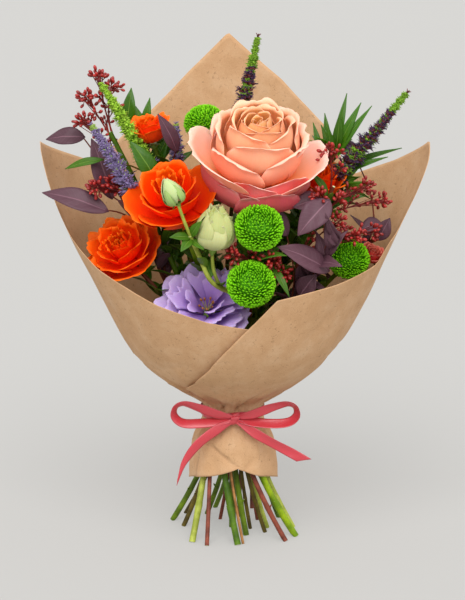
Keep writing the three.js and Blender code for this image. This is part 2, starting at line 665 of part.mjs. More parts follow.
// The ruffled, open lisianthus bloom, and its two kinds of bud.
const RUFFLE = { drop: 2, wrap: 1.5, wave: 2.4, columns: 4, rows: 3 };
const LISIANTHUS_LAYERS = [
  { ...RUFFLE, angles: [100, 220, 340], r: [3, 12, 14, 22], h: [0, 10, 20, 26], half: 52 },
  { ...RUFFLE, angles: [60, 132, 204, 276, 348], r: [4, 22, 26, 40], h: [-1, 4, 15, 20], half: 35 },
];
const LISIANTHUS = { base: [-23, -47, 221], aim: [-0.06, -0.72, 0.69] };

function lisianthusSolid(grow) {
  const frame = facing(LISIANTHUS.base, LISIANTHUS.aim);
  const parts = [heart(frame, [[3, -4], [5.5, 2], [4, 9]], 6, grow)];
  for (const layer of LISIANTHUS_LAYERS) {
    for (const angle of layer.angles) parts.push(petal(frame, layer, angle, 1, grow));
  }
  return fused(parts);
}

const WHITE_BUD = { base: [-17.7, -89, 289.9], aim: [0.14, -0.05, 0.99],
  rings: [[3, 0], [12, 6], [16.5, 15], [16, 23], [12, 31], [7, 37], [3, 42]] };
const SMALL_BUD = { base: [-48.6, -102.5, 334.2], aim: [-0.46, -0.15, 0.87],
  rings: [[3, 0], [8, 5], [9, 11], [6, 18], [2, 25]] };

function budSolid({ base, aim, rings }, grow) {
  return heart(facing(base, aim), rings, 8, grow, 0.32, 0.07);
}

// ------------------------------------------------------------------ leaves

// A pointed leaf with a lens-shaped section, arched along and folded across.
function leaf(base, tip, width, grow, face = UP) {
  const [arch, fold, rows, half0] = [0.1, 0.12, 4, 0.8];
  const along = tip.clone().sub(base);
  const length = along.length();
  along.normalize();
  const side = along.clone().cross(face).normalize();
  const normal = side.clone().cross(along);
  const rings = [];
  for (let i = 0; i < rows - 1; i++) {
    const t = i / (rows - 1);
    const half = Math.max((width / 2) * Math.sin(Math.PI * t ** 0.8) ** 0.9, half0);
    const middle = base.clone().addScaledVector(along, t * length)
      .addScaledVector(normal, arch * length * Math.sin(Math.PI * t));
    const edge = (sign) => middle.clone().addScaledVector(side, sign * (half + grow))
      .addScaledVector(normal, fold * half);
    rings.push([edge(-1), middle.clone().addScaledVector(normal, 0.45 + grow), edge(1),
      middle.clone().addScaledVector(normal, -0.45 - grow)]);
  }
  rings.push([tip.clone().addScaledVector(along, grow)]);
  return skin(rings);
}

// A cluster of seven red buds round a small hub: an eight-sided knot with the
// stalk on one face and a slim club grown out of each of the others.
function budCluster(centre, aim, size, turn, grow) {
  const stalk = new THREE.Vector3(-1, -1, -1).normalize();
  const pose = new THREE.Quaternion().setFromUnitVectors(stalk, aim.clone().negate().normalize())
    .multiply(new THREE.Quaternion().setFromAxisAngle(stalk, turn));
  const hub = 1.5 + grow;
  const points = [];
  const index = [];
  const place = (p) => points.push(p.clone().applyQuaternion(pose).add(centre)) - 1;
  const axes = [[1, 0, 0], [0, 1, 0], [0, 0, 1]].map(vec);
  const knot = axes.flatMap((axis) => [1, -1].map((sign) => place(axis.clone().multiplyScalar(sign * hub))));
  for (let face = 0; face < 8; face++) {
    const signs = [0, 1, 2].map((axis) => (face >> axis) & 1);
    let root = signs.map((low, axis) => knot[2 * axis + low]);
    if ((signs[0] + signs[1] + signs[2]) % 2) root = [root[0], root[2], root[1]];
    if (face === 7) {
      index.push(...root);
      continue;
    }
    const out = vec(signs.map((low) => (low ? -1 : 1))).normalize();
    const belly = root.map((i) => {
      const side = knotAxis(knot.indexOf(i)).addScaledVector(out, -knotAxis(knot.indexOf(i)).dot(out));
      return place(side.normalize().multiplyScalar(1.8 + grow).addScaledVector(out, 0.7 * size));
    });
    const tip = place(out.clone().multiplyScalar(size + grow));
    for (let j = 0; j < 3; j++) {
      const k = (j + 1) % 3;
      index.push(root[j], root[k], belly[k], root[j], belly[k], belly[j], belly[j], belly[k], tip);
    }
  }
  return solidOf(geometryOf(points, index));
}

// The direction of one of the six corners of a cluster's hub.
function knotAxis(corner) {
  return new THREE.Vector3().setComponent(corner >> 1, corner % 2 ? -1 : 1);
}

// ---------------------------------------------------------------- assembly

const PIECES = new Map(); // by name: the parts of each piece, in their group

function piece(name, group, colour, roughness) {
  const made = { name, group, colour, roughness, parts: [] };
  PIECES.set(name, made);
  return made;
}

const meets = (a, b) => [0, 1, 2].every((i) => a.min[i] < b.max[i] && b.min[i] < a.max[i]);

// Keeps a part together with a copy grown by GAP, to hold the others off.
function keep(owner, solid, make) {
  const grown = make(GAP);
  owner.parts.push({ solid, make, grown, box: grown.boundingBox() });
}

function isClear(owner, solid) {
  const box = solid.boundingBox();
  for (const other of PIECES.values()) {
    if (other === owner) continue;
    for (const part of other.parts) {
      if (!meets(box, part.box)) continue;
      if (solid.intersect(part.grown).volume() > 1e-4) return false;
      if (solid.intersect(part.solid).volume() > 1e-4) return false;
    }
  }
  return true;
}

// Adds a part, cut back where it would touch another piece. On its own stem it
// is seated closer.
function addTrimmed(owner, make, stem = "") {
  let solid = make(0);
  const box = solid.boundingBox();
  for (const other of PIECES.values()) {
    if (other === owner) continue;
    for (const part of other.parts) {
      if (!meets(box, part.box)) continue;
      const grown = other.name === stem ? part.make(SEAT) : part.grown;
      for (const cutter of [grown, part.solid]) {
        if (solid.intersect(cutter).volume() > 1e-6) solid = solid.subtract(cutter);
      }
    }
  }
  keep(owner, largestOf(solid), make);
}

// Adds a part where it is clear of every other piece: bent aside in ever wider
// seeded draws, and left out if none of them is clear.
function addBent(owner, seed, make, tries = 14, spread = 3.2) {
  const draw = seeded(seed);
  for (let k = 0; k < tries; k++) {
    const bend = vec([draw() - 0.5, draw() - 0.5, draw() - 0.5]).multiplyScalar(2 * spread * k);
    const solid = make(bend, 0);
    if (!isClear(owner, solid)) continue;
    keep(owner, solid, (grow) => make(bend, grow));
    return true;
  }
  return false;
}

addTrimmed(piece("kraft_wrapper", "wrapping", "#c39a6b", 0.85), wrapperSolid);
addTrimmed(piece("ribbon_bow", "wrapping", "#d9484f", 0.4), ribbonSolid);
addTrimmed(piece("binding_twine", "wrapping", "#b08f5a", 0.9), twineSolid);

for (const [name, { colour }] of Object.entries(STEMS)) {
  const stem = piece(`${name}_stem`, "stems", colour, 0.6);
  keep(stem, stemSolid(name, 0), (grow) => stemSolid(name, grow));
}

// Side branches that carry a bloom of their own: stem, height, end, radius.
const BRANCHES = [
  ["mum_front", 205, [16, -82.6, 250.2], 1.9],
  ["white_lisianthus", 250, [-17.6, -89, 290.6], 1.8],
  ["white_lisianthus", 299, [-48.9, -102.6, 334.8], 1.6],
  ["orange_rose_c", 210, [126, -20, 264], 1.6],
  ["spike_left", 292, [-92.2, -50, 336.4], 1.7],
];
BRANCHES.forEach(([name, z, end, radius], i) => {
  const stem = PIECES.get(`${name}_stem`);
  const make = (bend, grow) => twig(name, z, vec(end), radius, bend, grow);
  if (!addBent(stem, 50 + i, make, 40, 2)) throw new Error(`no clear way for branch ${i}`);
});

for (const [name, spec] of Object.entries(ROSES)) {
  const { top } = STEMS[name];
  const stem = PIECES.get(`${name}_stem`);
  addTrimmed(stem, (grow) => calyx(top, spec.aim, spec.size ** 0.5, grow));
  const base = vec(top).addScaledVector(vec(spec.aim).normalize(), 5 * spec.size + 1).toArray();
  addTrimmed(piece(`${name}_bloom`, "blooms", spec.colour, 0.55),
    (grow) => roseSolid(base, spec, grow), `${name}_stem`);
}
addTrimmed(piece("coral_spray_rose_bloom", "blooms", "#e2604f", 0.55),
  (grow) => roseSolid(CORAL.base, CORAL, grow), "orange_rose_c_stem");

for (const [name, { stem, centre, aim, radius }] of Object.entries(MUMS)) {
  addTrimmed(piece(name, "blooms", "#5fb90f", 0.6),
    (grow) => mumSolid(centre, aim, radius, grow), `${stem}_stem`);
}
addTrimmed(piece("white_lisianthus_bud", "blooms", "#dde3b8", 0.5),
  (grow) => budSolid(WHITE_BUD, grow), "white_lisianthus_stem");
addTrimmed(piece("small_lisianthus_bud", "blooms", "#c9d8a0", 0.5),
  (grow) => budSolid(SMALL_BUD, grow), "white_lisianthus_stem");
addTrimmed(piece("purple_lisianthus_bloom", "blooms", "#b79be0", 0.5),
  lisianthusSolid, "purple_lisianthus_stem");
for (const [name, { stem, base, tip, width, colour }] of Object.entries(SPIKES)) {
  addTrimmed(piece(name, "blooms", colour, 0.7),
    (grow) => spikeSolid(base, tip, width, grow), `${stem}_stem`);
}

const LEAF_SEAT = 0.03; // how far along its blade a leaf's stalk reaches

// Leaves that are placed one by one: stem, height where the stalk leaves it,
// base and tip of the blade, width.
const LEAVES = [
  ["dark_leaves_left", 340, [-136, -4, 378], [-173, 2, 375], 19],
  ["dark_leaves_left", 290, [-113, -42, 315], [-175, -27, 330], 22],
  ["dark_leaves_left", 305, [-111, -18, 322], [-130, -12, 378], 23],
  ["dark_leaves_left", 240, [-57, -33, 358], [-72, -35, 398], 15],
  ["dark_leaves_front", 262, [87, -86, 334], [58, -101, 304], 25],
  ["dark_leaves_front", 250, [88, -75, 266], [40, -90, 292], 23],
  ["dark_leaves_front", 225, [61, -70, 242], [76, -77, 264], 20],
  ["dark_leaves_front", 264, [81, -68, 331], [54, -75, 325], 20],
  ["dark_leaves_front", 215, [50, -62, 296], [30, -64, 326], 17],
  ["dark_leaves_right", 270, [135, -16, 283], [146, -14, 304], 15],
  ["dark_leaves_right", 275, [138, -18, 300], [117, -22, 294], 16],
  ["dark_leaves_right", 270, [118, 12, 350], [103, 14, 375], 16],
  ["green_leaves_right", 355, null, [106, 10, 417], 8],
  ["green_leaves_right", 358, null, [119, 5, 409], 9],
  ["green_leaves_right", 350, null, [86, 20, 397], 8],
  ["green_leaves_right", 342, null, [75, 15, 389], 8],
  ["green_leaves_right", 348, null, [129, 5, 406], 8],
  ["green_leaves_right", 338, null, [150, -5, 378], 7],
  ["green_leaves_right", 330, null, [146, -10, 360], 9],
  ["green_leaves_right", 361, null, [99, -2, 400], 10],
  ["green_leaves_left", 330, [-99, 12, 382], [-94, 18, 421], 13],
  ["green_leaves_left", 330, [-84, 20, 376], [-77, 24, 411], 9],
  ["green_leaves_left", 310, [-64, -36, 352], [-91, -34, 386], 18],
  ["spike_left", 330, [-118, -27, 361], [-154, -21, 351], 8],
  ["white_lisianthus", 302, null, [-27, -104, 318], 9],
  ["white_lisianthus", 301, null, [-54, -101, 306], 9],
  ["white_lisianthus", 300, null, [-46, -109, 291], 9],
  ["white_lisianthus", 299, null, [-25, -101, 291], 9],
  ["mum_front", 228, [36, -80, 272], [51, -96, 247], 7],
];
LEAVES.forEach(([name, z, base, tip, width], i) => {
  const stem = PIECES.get(`${name}_stem`);
  addBent(stem, 100 + i, (bend, grow) => {
    const root = base ? vec(base).addScaledVector(bend, 0.5) : stemAt(name, z);
    const end = vec(tip).addScaledVector(bend, base ? 0.3 : 0.6);
    const blade = leaf(root, end, width, grow, vec([0.1, -0.8, 0.6]));
    return base ? blade.add(twig(name, z, root.clone().lerp(end, LEAF_SEAT), 1, bend, grow, 2)) : blade;
  });
});

// Leaves along the stems inside the bunch: stem, lowest and highest, count,
// length and width.
const LEAFY = [
  ["green_leaves_left", 190, 300, 3, 46, 18], ["green_leaves_right", 190, 280, 3, 46, 16],
  ["mum_front", 200, 250, 2, 36, 15], ["mum_right", 190, 235, 1, 34, 15],
  ["mum_back", 260, 300, 1, 38, 15], ["orange_rose_b", 190, 240, 2, 40, 19],
  ["orange_rose_c", 220, 270, 2, 40, 19], ["white_lisianthus", 225, 260, 1, 36, 13],
];
LEAFY.forEach(([name, low, high, count, length, width], row) => {
  const draw = seeded(300 + row);
  for (let i = 0; i < count; i++) {
    const from = stemAt(name, mix(low, high, (i + 0.5) / count));
    const turn = i * GOLDEN + draw();
    const aim = vec([Math.cos(turn), Math.sin(turn), 0.75]).normalize();
    addBent(PIECES.get(`${name}_stem`), 400 + 20 * row + i, (bend, grow) => {
      const tip = from.clone().addScaledVector(aim, length).addScaledVector(bend, 1.5);
      return leaf(from, tip, width, grow);
    });
  }
});

// Clusters of red buds: stem, height where the stalk leaves it, middle.
const BUDS = [
  ["bud_spray_left", 360, [-123, -5, 435]],
  ["bud_spray_left", 350, [-135, -10, 416]],
  ["bud_spray_left", 372, [-112, 4, 424]],
  ["bud_spray_left", 330, [-138, -20, 396]],
  ["bud_spray_left", 290, [-110, -36, 340]],
  ["bud_spray_left", 300, [-126, -42, 337]],
  ["bud_spray_left", 262, [-114, -50, 311]],
  ["bud_spray_right", 325, [88, -42, 371]],
  ["bud_spray_right", 300, [52, -88, 342]],
  ["bud_spray_right", 310, [70, -80, 343]],
  ["bud_spray_right", 300, [123, -36, 337]],
  ["bud_spray_right", 290, [140, -24, 323]],
  ["bud_spray_right", 260, [96, -62, 309]],
  ["bud_spray_right", 250, [112, -58, 294]],
  ["bud_spray_right", 255, [130, -38, 296]],
  ["bud_spray_front", 250, [-6, -96, 282]],
  ["bud_spray_front", 262, [37, -85, 278]],
  ["bud_spray_front", 240, [48, -76, 264]],
];
BUDS.forEach(([name, z, middle], i) => {
  addBent(PIECES.get(`${name}_stem`), 700 + i, (bend, grow) => {
    const end = vec(middle).addScaledVector(bend, 0.5);
    const aim = end.clone().sub(stemAt(name, z)).normalize().add(vec([0, -0.5, 0.2]));
    return budCluster(end, aim, 9.5, i, grow).add(twig(name, z, end, 0.8, bend, grow, 2));
  }, 24);
});

const bouquet = new THREE.Group();
bouquet.name = "mixed_flower_bouquet";
for (const { name, group, colour, roughness, parts } of PIECES.values()) {
  let holder = bouquet.getObjectByName(group);
  if (!holder) {
    holder = new THREE.Group();
    holder.name = group;
    bouquet.add(holder);
  }
  const whole = largestOf(fused(parts.map(({ solid }) => solid)).simplify(0.1));
  const { vertProperties, triVerts } = whole.getMesh();
  const geometry = new THREE.BufferGeometry();
  geometry.setAttribute("position", new THREE.BufferAttribute(vertProperties, 3));
  geometry.setIndex(new THREE.BufferAttribute(triVerts, 1));
  const material = new THREE.MeshStandardMaterial({ color: colour, roughness, metalness: 0 });
  const mesh = new THREE.Mesh(geometry, material);
  mesh.name = name;
  holder.add(mesh);
}

export default bouquet;
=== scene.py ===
import math

import bpy
import numpy as np
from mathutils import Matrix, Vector


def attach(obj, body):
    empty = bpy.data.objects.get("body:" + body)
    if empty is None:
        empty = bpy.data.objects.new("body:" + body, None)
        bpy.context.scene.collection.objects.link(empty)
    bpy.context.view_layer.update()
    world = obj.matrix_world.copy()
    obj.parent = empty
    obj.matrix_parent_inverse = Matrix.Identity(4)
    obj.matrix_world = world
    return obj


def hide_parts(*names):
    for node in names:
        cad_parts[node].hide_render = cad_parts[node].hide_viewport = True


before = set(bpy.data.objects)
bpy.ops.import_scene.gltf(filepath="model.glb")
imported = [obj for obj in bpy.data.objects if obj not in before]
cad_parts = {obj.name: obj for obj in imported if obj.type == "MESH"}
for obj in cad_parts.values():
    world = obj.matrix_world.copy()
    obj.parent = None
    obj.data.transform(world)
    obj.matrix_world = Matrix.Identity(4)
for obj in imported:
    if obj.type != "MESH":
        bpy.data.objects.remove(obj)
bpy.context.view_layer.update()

# A mixed flower bouquet standing on its splayed stems, wrapped in brown paper
# and tied with a satin ribbon. Lengths are millimetres until a mesh is made;
# X to the right, Y to the back, Z up from the cut ends.

MM = 0.001
GOLDEN = math.pi * (3 - math.sqrt(5))
UP = np.array([0.0, 0.0, 1.0])


# ---------------------------------------------------------------- numbers

def seeded(seed):
    """The same small generator as the solids', so that their draws can be repeated."""
    state = seed

    def draw():
        nonlocal state
        state = (state * 1664525 + 1013904223) % 2**32
        return state / 2**32

    return draw


def unit(v):
    v = np.asarray(v, float)
    return v / np.maximum(np.linalg.norm(v, axis=-1, keepdims=True), 1e-9)


def mix(a, b, t):
    return a * (1 - t) + b * t


def smoothstep(x, low, high):
    t = np.clip((x - low) / (high - low), 0, 1)
    return t * t * (3 - 2 * t)


def smooth_at(table, x):
    """A smooth curve through the points (x, y) of a table, read at x."""
    xs, ys = np.array(table, float).T
    last = len(xs) - 1
    before, after = np.maximum(np.arange(last + 1) - 1, 0), np.minimum(np.arange(last + 1) + 1, last)
    slopes = (ys[after] - ys[before]) / (xs[after] - xs[before])
    x = np.clip(x, xs[0], xs[-1])
    i = np.clip(np.searchsorted(xs, x) - 1, 0, last - 1)
    w = xs[i + 1] - xs[i]
    t = (x - xs[i]) / w
    return ((2 * t**3 - 3 * t**2 + 1) * ys[i] + (t**3 - 2 * t**2 + t) * w * slopes[i]
            + (3 * t**2 - 2 * t**3) * ys[i + 1] + (t**3 - t**2) * w * slopes[i + 1])


def straight_at(table, x):
    xs, ys = np.array(table, float).T
    return np.interp(x, xs, ys)


def bezier(c, t):
    s = 1 - t
    return c[0] * s**3 + 3 * c[1] * s * s * t + 3 * c[2] * s * t * t + c[3] * t**3


def spline(points, steps):
    """A smooth path through points, with a number of steps between each two."""
    p = np.array(points, float)
    ends = np.vstack([2 * p[0] - p[1], p, 2 * p[-1] - p[-2]])
    t = (np.arange(steps) / steps)[:, None]
    path = []
    for a, b, c, d in zip(ends, ends[1:], ends[2:], ends[3:]):
        path.append(b + 0.5 * t * (c - a + t * (2 * a - 5 * b + 4 * c - d + t * (3 * (b - c) + d - a))))
    return np.vstack([*path, p[-1:]])


def arc(start, control, end, steps):
    t = np.linspace(0, 1, steps + 1)[:, None]
    return start * (1 - t) ** 2 + 2 * control * t * (1 - t) + end * t**2


# ----------------------------------------------------------------- meshes

class Growth:
    """The points, faces, marks and finishes of one piece, gathered part by part.

    A point's marks say where it lies on its petal, leaf or stem: along from root
    to tip and across from -1 to 1, then a draw of its own, then its layer in the
    bloom from 0 in the heart to 1 outside, and its side, 1 for the inner face.
    """

    def __init__(self):
        self.points, self.faces, self.finishes, self.marks = [], [], [], []
        self.count = 0

    def add(self, points, faces, finish=0, along=0, across=0, draw=0, layer=0, side=0):
        points = np.asarray(points, float).reshape(-1, 3)
        for group in faces:
            self.faces.append(np.asarray(group) + self.count)
            self.finishes.append(np.full(len(group), finish))
        marks = [np.broadcast_to(np.asarray(m, float).ravel(), len(points))
                 for m in (along, across, draw, layer, side)]
        self.marks.append(np.stack(marks, axis=1))
        self.points.append(points)
        self.count += len(points)

    def make(self, name, materials, nodes, slot):
        """The finished piece, which stands for the given nodes."""
        mesh = bpy.data.meshes.new(name)
        points = np.concatenate(self.points) * MM
        points[:, 2] = np.maximum(points[:, 2], 0)  # the bunch stands on the floor
        marks = np.concatenate(self.marks)
        mesh.vertices.add(len(points))
        mesh.vertices.foreach_set("co", points.ravel())
        sizes = np.concatenate([np.full(len(f), f.shape[1]) for f in self.faces])
        mesh.loops.add(int(sizes.sum()))
        mesh.loops.foreach_set("vertex_index", np.concatenate([f.ravel() for f in self.faces]))
        mesh.polygons.add(len(sizes))
        mesh.polygons.foreach_set("loop_start", np.cumsum(sizes) - sizes)
        mesh.polygons.foreach_set("material_index", np.concatenate(self.finishes))
        mesh.update(calc_edges=True)
        mesh.shade_smooth()
        for title, columns in (("grown", marks[:, :3]), ("place", marks[:, [3, 4, 2]])):
            layer = mesh.attributes.new(title, "FLOAT_VECTOR", "POINT")
            layer.data.foreach_set("vector", columns.ravel())
        for material in materials:
            mesh.materials.append(material)
        piece = bpy.data.objects.new(name, mesh)
        bpy.context.scene.collection.objects.link(piece)
        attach(piece, "root")
        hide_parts(*nodes)
        return piece


def sheet(growth, grid, thick, finish=0, draw=0.0, layer=0.0):
    """A thin closed sheet over a grid of points, whose rows run from root to tip."""
    rows, columns = grid.shape[:2]
    normal = unit(np.cross(np.gradient(grid, axis=1), np.gradient(grid, axis=0)))
    half = normal * (np.broadcast_to(thick, (rows, columns)) / 2)[..., None]
    front = np.arange(rows * columns).reshape(rows, columns)
    a, b, c, d = front[:-1, :-1], front[:-1, 1:], front[1:, 1:], front[1:, :-1]
    quads = np.stack([a, b, c, d], -1).reshape(-1, 4)
    rim = np.concatenate([front[0, :-1], front[:-1, -1], front[-1, :0:-1], front[:0:-1, 0]])
    ahead = np.roll(rim, -1)
    edge = np.stack([ahead, rim, rim + rows * columns, ahead + rows * columns], -1)
    faces = np.concatenate([quads, quads[:, ::-1] + rows * columns, edge])
    along = np.repeat(np.linspace(0, 1, rows), columns)
    across = np.tile(np.linspace(-1, 1, columns), rows)
    growth.add(np.concatenate([(grid + half).reshape(-1, 3), (grid - half).reshape(-1, 3)]), [faces],
               finish, np.tile(along, 2), np.tile(across, 2), draw, layer,
               np.repeat([1.0, -1.0], rows * columns))


def turning(path):
    """Two directions square to a path at each of its points, turning with it."""
    along = unit(np.gradient(path, axis=0))
    normal = np.array([1.0, 0.0, 0.0])
    normals = []
    for way in along:
        normal = normal - way * normal.dot(way)
        if np.linalg.norm(normal) < 0.05:
            normal = np.cross(way, [0.3, 0.9, 0.1])
        normal = normal / np.linalg.norm(normal)
        normals.append(normal)
    normals = np.array(normals)
    return along, normals, np.cross(along, normals)


def tube(growth, path, radii, sides, finish=0, draw=0.0, ends=None):
    """A round rod along a path, with flat ends, which may have a finish of their own."""
    count = len(path)
    _, normal, other = turning(path)
    turn = 2 * np.pi * np.arange(sides) / sides
    radii = np.broadcast_to(np.asarray(radii, float), count)
    ring = (normal[:, None] * np.cos(turn)[:, None] + other[:, None] * np.sin(turn)[:, None])
    points = path[:, None] + ring * radii[:, None, None]
    at = np.arange(count * sides).reshape(count, sides)
    right = np.roll(at, -1, axis=1)
    skin = np.stack([at[:-1], right[:-1], right[1:], at[1:]], -1).reshape(-1, 4)
    across = np.tile(np.abs(np.linspace(-1, 1, sides, endpoint=False)), count)
    growth.add(points, [skin], finish, np.repeat(np.linspace(0, 1, count), sides), across, draw)
    bark = 0.55  # share of the radius at which the rim of a cut end begins
    for k, flip in ((0, 1), (count - 1, -1)):
        disc = np.concatenate([path[k:k + 1], mix(path[k], points[k], bark), points[k]])
        inner, outer = 1 + np.arange(sides), 1 + sides + np.arange(sides)
        fan = np.stack([np.zeros(sides, int), np.roll(inner, -1), inner], -1)[:, ::flip]
        band = np.stack([inner, np.roll(inner, -1), np.roll(outer, -1), outer], -1)[:, ::flip]
        reach = np.concatenate([[0], np.full(sides, bark), np.ones(sides)])
        growth.add(disc, [fan, band], finish if ends is None else ends, reach, 0, draw)


def ovoid(profile, sides):
    """A closed template round its own Z from 0 to 1: heights against radii, tipped at both ends."""
    template = Growth()
    turn = 2 * np.pi * np.arange(sides) / sides
    rings = [[0, 0, profile[0][0]]]
    for height, radius in profile[1:-1]:
        rings.extend(np.stack([radius * np.cos(turn), radius * np.sin(turn), np.full(sides, height)], -1))
    rings.append([0, 0, profile[-1][0]])
    count = len(profile) - 2
    at = 1 + np.arange(count * sides).reshape(count, sides)
    right = np.roll(at, -1, axis=1)
    end = 1 + count * sides
    fans = np.concatenate([np.stack([np.zeros(sides, int), right[0], at[0]], -1),
                           np.stack([np.full(sides, end), at[-1], right[-1]], -1)])
    skin = np.stack([at[:-1], right[:-1], right[1:], at[1:]], -1).reshape(-1, 4)
    along = np.array(rings)[:, 2]
    template.add(rings, [fans, skin], along=along)
    return template


def strewn(growth, template, centres, axes, sizes, widths, finish=0, draws=0.0, layers=0.0, towards=UP):
    """Copies of a template, each at its own centre, its Z along its own axis and its
    X as near to towards as that lets it be."""
    points = np.concatenate(template.points)
    marks = np.concatenate(template.marks)
    centres = np.atleast_2d(centres)
    count = len(centres)
    z = unit(np.broadcast_to(axes, (count, 3)))
    lean = np.broadcast_to(np.asarray(towards, float), (count, 3))
    x = lean - z * (lean * z).sum(1, keepdims=True)
    lost = np.linalg.norm(x, axis=1) < 0.05
    x[lost] = np.cross(z[lost], [0.6, 0.7, 0.2])
    x = unit(x)
    y = np.cross(z, x)
    width = np.broadcast_to(np.asarray(widths, float), count)[:, None, None]
    size = np.broadcast_to(np.asarray(sizes, float), count)[:, None, None]
    spread = (points[None, :, :1] * x[:, None] + points[None, :, 1:2] * y[:, None]) * width
    placed = centres[:, None] + spread + points[None, :, 2:] * z[:, None] * size
    faces = [(f[None] + (np.arange(count) * len(points))[:, None, None]).reshape(-1, f.shape[1])
             for f in template.faces]
    draw = np.repeat(np.broadcast_to(np.asarray(draws, float), count), len(points))
    layer = np.repeat(np.broadcast_to(np.asarray(layers, float), count), len(points))
    growth.add(placed, faces, finish, np.tile(marks[:, 0], count), np.tile(marks[:, 1], count), draw,
               layer, np.tile(marks[:, 4], count))


def facing(aim):
    """The axes of a bloom that faces along aim, its own X kept to the right."""
    z = unit(aim)
    x = unit(np.array([1.0, 0, 0]) - z * z[0])
    return x, np.cross(z, x), z


def ways_round(x, y, turns):
    """A direction for each turn, in the plane of x and y."""
    return np.cos(turns)[:, None] * x + np.sin(turns)[:, None] * y


def lies_on(node, points, reach):
    """Whether all of the points lie within reach of the node's surface."""
    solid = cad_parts[node]
    for point in points:
        found, place, _, _ = solid.closest_point_on_mesh(Vector(point) * MM)
        if not found or (place - Vector(point) * MM).length > reach * MM:
            return False
    return True


# -------------------------------------------------------------- materials

def linear(code):
    """A colour given as sRGB hex, turned to linear, with full alpha."""
    parts = [int(code[i:i + 2], 16) / 255 for i in (1, 3, 5)]
    return (*(p / 12.92 if p <= 0.04045 else ((p + 0.055) / 1.055) ** 2.4 for p in parts), 1.0)


MIX_FACTOR, MIX_A, MIX_B, MIXED = 0, 6, 7, 2  # the colour sockets of a Mix node


def add(tree, kind, links=(), stops=(), **settings):
    """Adds a shader node with its settings, its links or values and its colour stops."""
    made = tree.nodes.new("ShaderNode" + kind)
    for field, value in settings.items():
        setattr(made, field, value)
    for socket, value in dict(links).items():
        if isinstance(value, bpy.types.NodeSocket):
            tree.links.new(value, made.inputs[socket])
        elif isinstance(value, str):
            made.inputs[socket].default_value = linear(value)
        else:
            made.inputs[socket].default_value = value
    for k, (place, colour) in enumerate(stops):
        ramp = made.color_ramp.elements
        stop = ramp[k] if k < 2 else ramp.new(place)
        stop.position = place
        stop.color = linear(colour)
    return made


def marks_of(tree):
    """The marks along, across, draw, layer and side of a piece's points, then the first
    three as one vector."""
    grown = add(tree, "Attribute", attribute_name="grown")
    place = add(tree, "Attribute", attribute_name="place")
    first = add(tree, "SeparateXYZ", {0: grown.outputs["Vector"]})
    second = add(tree, "SeparateXYZ", {0: place.outputs["Vector"]})
    return [*first.outputs, second.outputs[0], second.outputs[1]], grown.outputs["Vector"]


def started(name):
    material = bpy.data.materials.new(name)
    material.use_nodes = True
    material.node_tree.nodes.clear()
    return material, material.node_tree


def ended(tree, sockets, height=None, depth=0.2):
    """The shader and its output, with a bump of a depth in millimetres."""
    sockets = dict(sockets)
    if height is not None:
        bump = add(tree, "Bump", {"Height": height, "Distance": depth * MM, "Strength": 1.0})
        sockets["Normal"] = bump.outputs[0]
    shader = add(tree, "BsdfPrincipled", sockets)
    add(tree, "OutputMaterial", {0: shader.outputs[0]})


def kraft_paper():
    """Unbleached kraft paper, machine-made: matt, cloudy, with single darker fibres in the sheet."""
    material, tree = started("kraft_paper")
    where = add(tree, "TexCoord").outputs["Object"]
    grain_mm, cloud_mm, fibre_mm, patch_mm = 0.9, 22, 5.5, 4.2
    grain = add(tree, "TexNoise", {"Vector": where, "Scale": 1 / (grain_mm * MM), "Detail": 6.0,
                                   "Roughness": 0.7}).outputs[0]
    clouds = add(tree, "TexNoise", {"Vector": where, "Scale": 1 / (cloud_mm * MM), "Detail": 8.0,
                                    "Roughness": 0.65}).outputs[0]
    fibres = add(tree, "TexNoise", {"Vector": where, "Scale": 1 / (fibre_mm * MM), "Detail": 1.0}).outputs[0]
    patches = add(tree, "TexNoise", {"Vector": where, "Scale": 1 / (patch_mm * MM)}).outputs[0]
    grainy = add(tree, "ValToRGB", {0: grain}, [(0.34, "#B58C62"), (0.5, "#C69D75"), (0.7, "#D1AD87")])
    cloudy = add(tree, "ValToRGB", {0: clouds}, [(0.34, "#BA9067"), (0.5, "#C69D75"), (0.68, "#D2AF8B")])
    sheet_tone = add(tree, "Mix", {MIX_FACTOR: 0.55, MIX_A: grainy.outputs[0], MIX_B: cloudy.outputs[0]},
                     data_type="RGBA").outputs[MIXED]
    # A fibre is a short piece of a level line of one noise, cut out by another.
    level = add(tree, "Math", {0: fibres, 1: 0.5}, operation="SUBTRACT").outputs[0]
    line = add(tree, "MapRange", {0: add(tree, "Math", {0: level}, operation="ABSOLUTE").outputs[0],
                                  1: 0.006, 2: 0.022, 3: 1.0, 4: 0.0}).outputs[0]
    part = add(tree, "MapRange", {0: patches, 1: 0.54, 2: 0.6, 3: 0.0, 4: 0.5}).outputs[0]
    fibre = add(tree, "Math", {0: line, 1: part}, operation="MULTIPLY").outputs[0]
    tone = add(tree, "Mix", {MIX_FACTOR: fibre, MIX_A: sheet_tone, MIX_B: "#86643F"}, data_type="RGBA")
    ended(tree, {"Base Color": tone.outputs[MIXED], "Roughness": 0.82, "Specular IOR Level": 0.25},
          grain, 0.12)
    return material


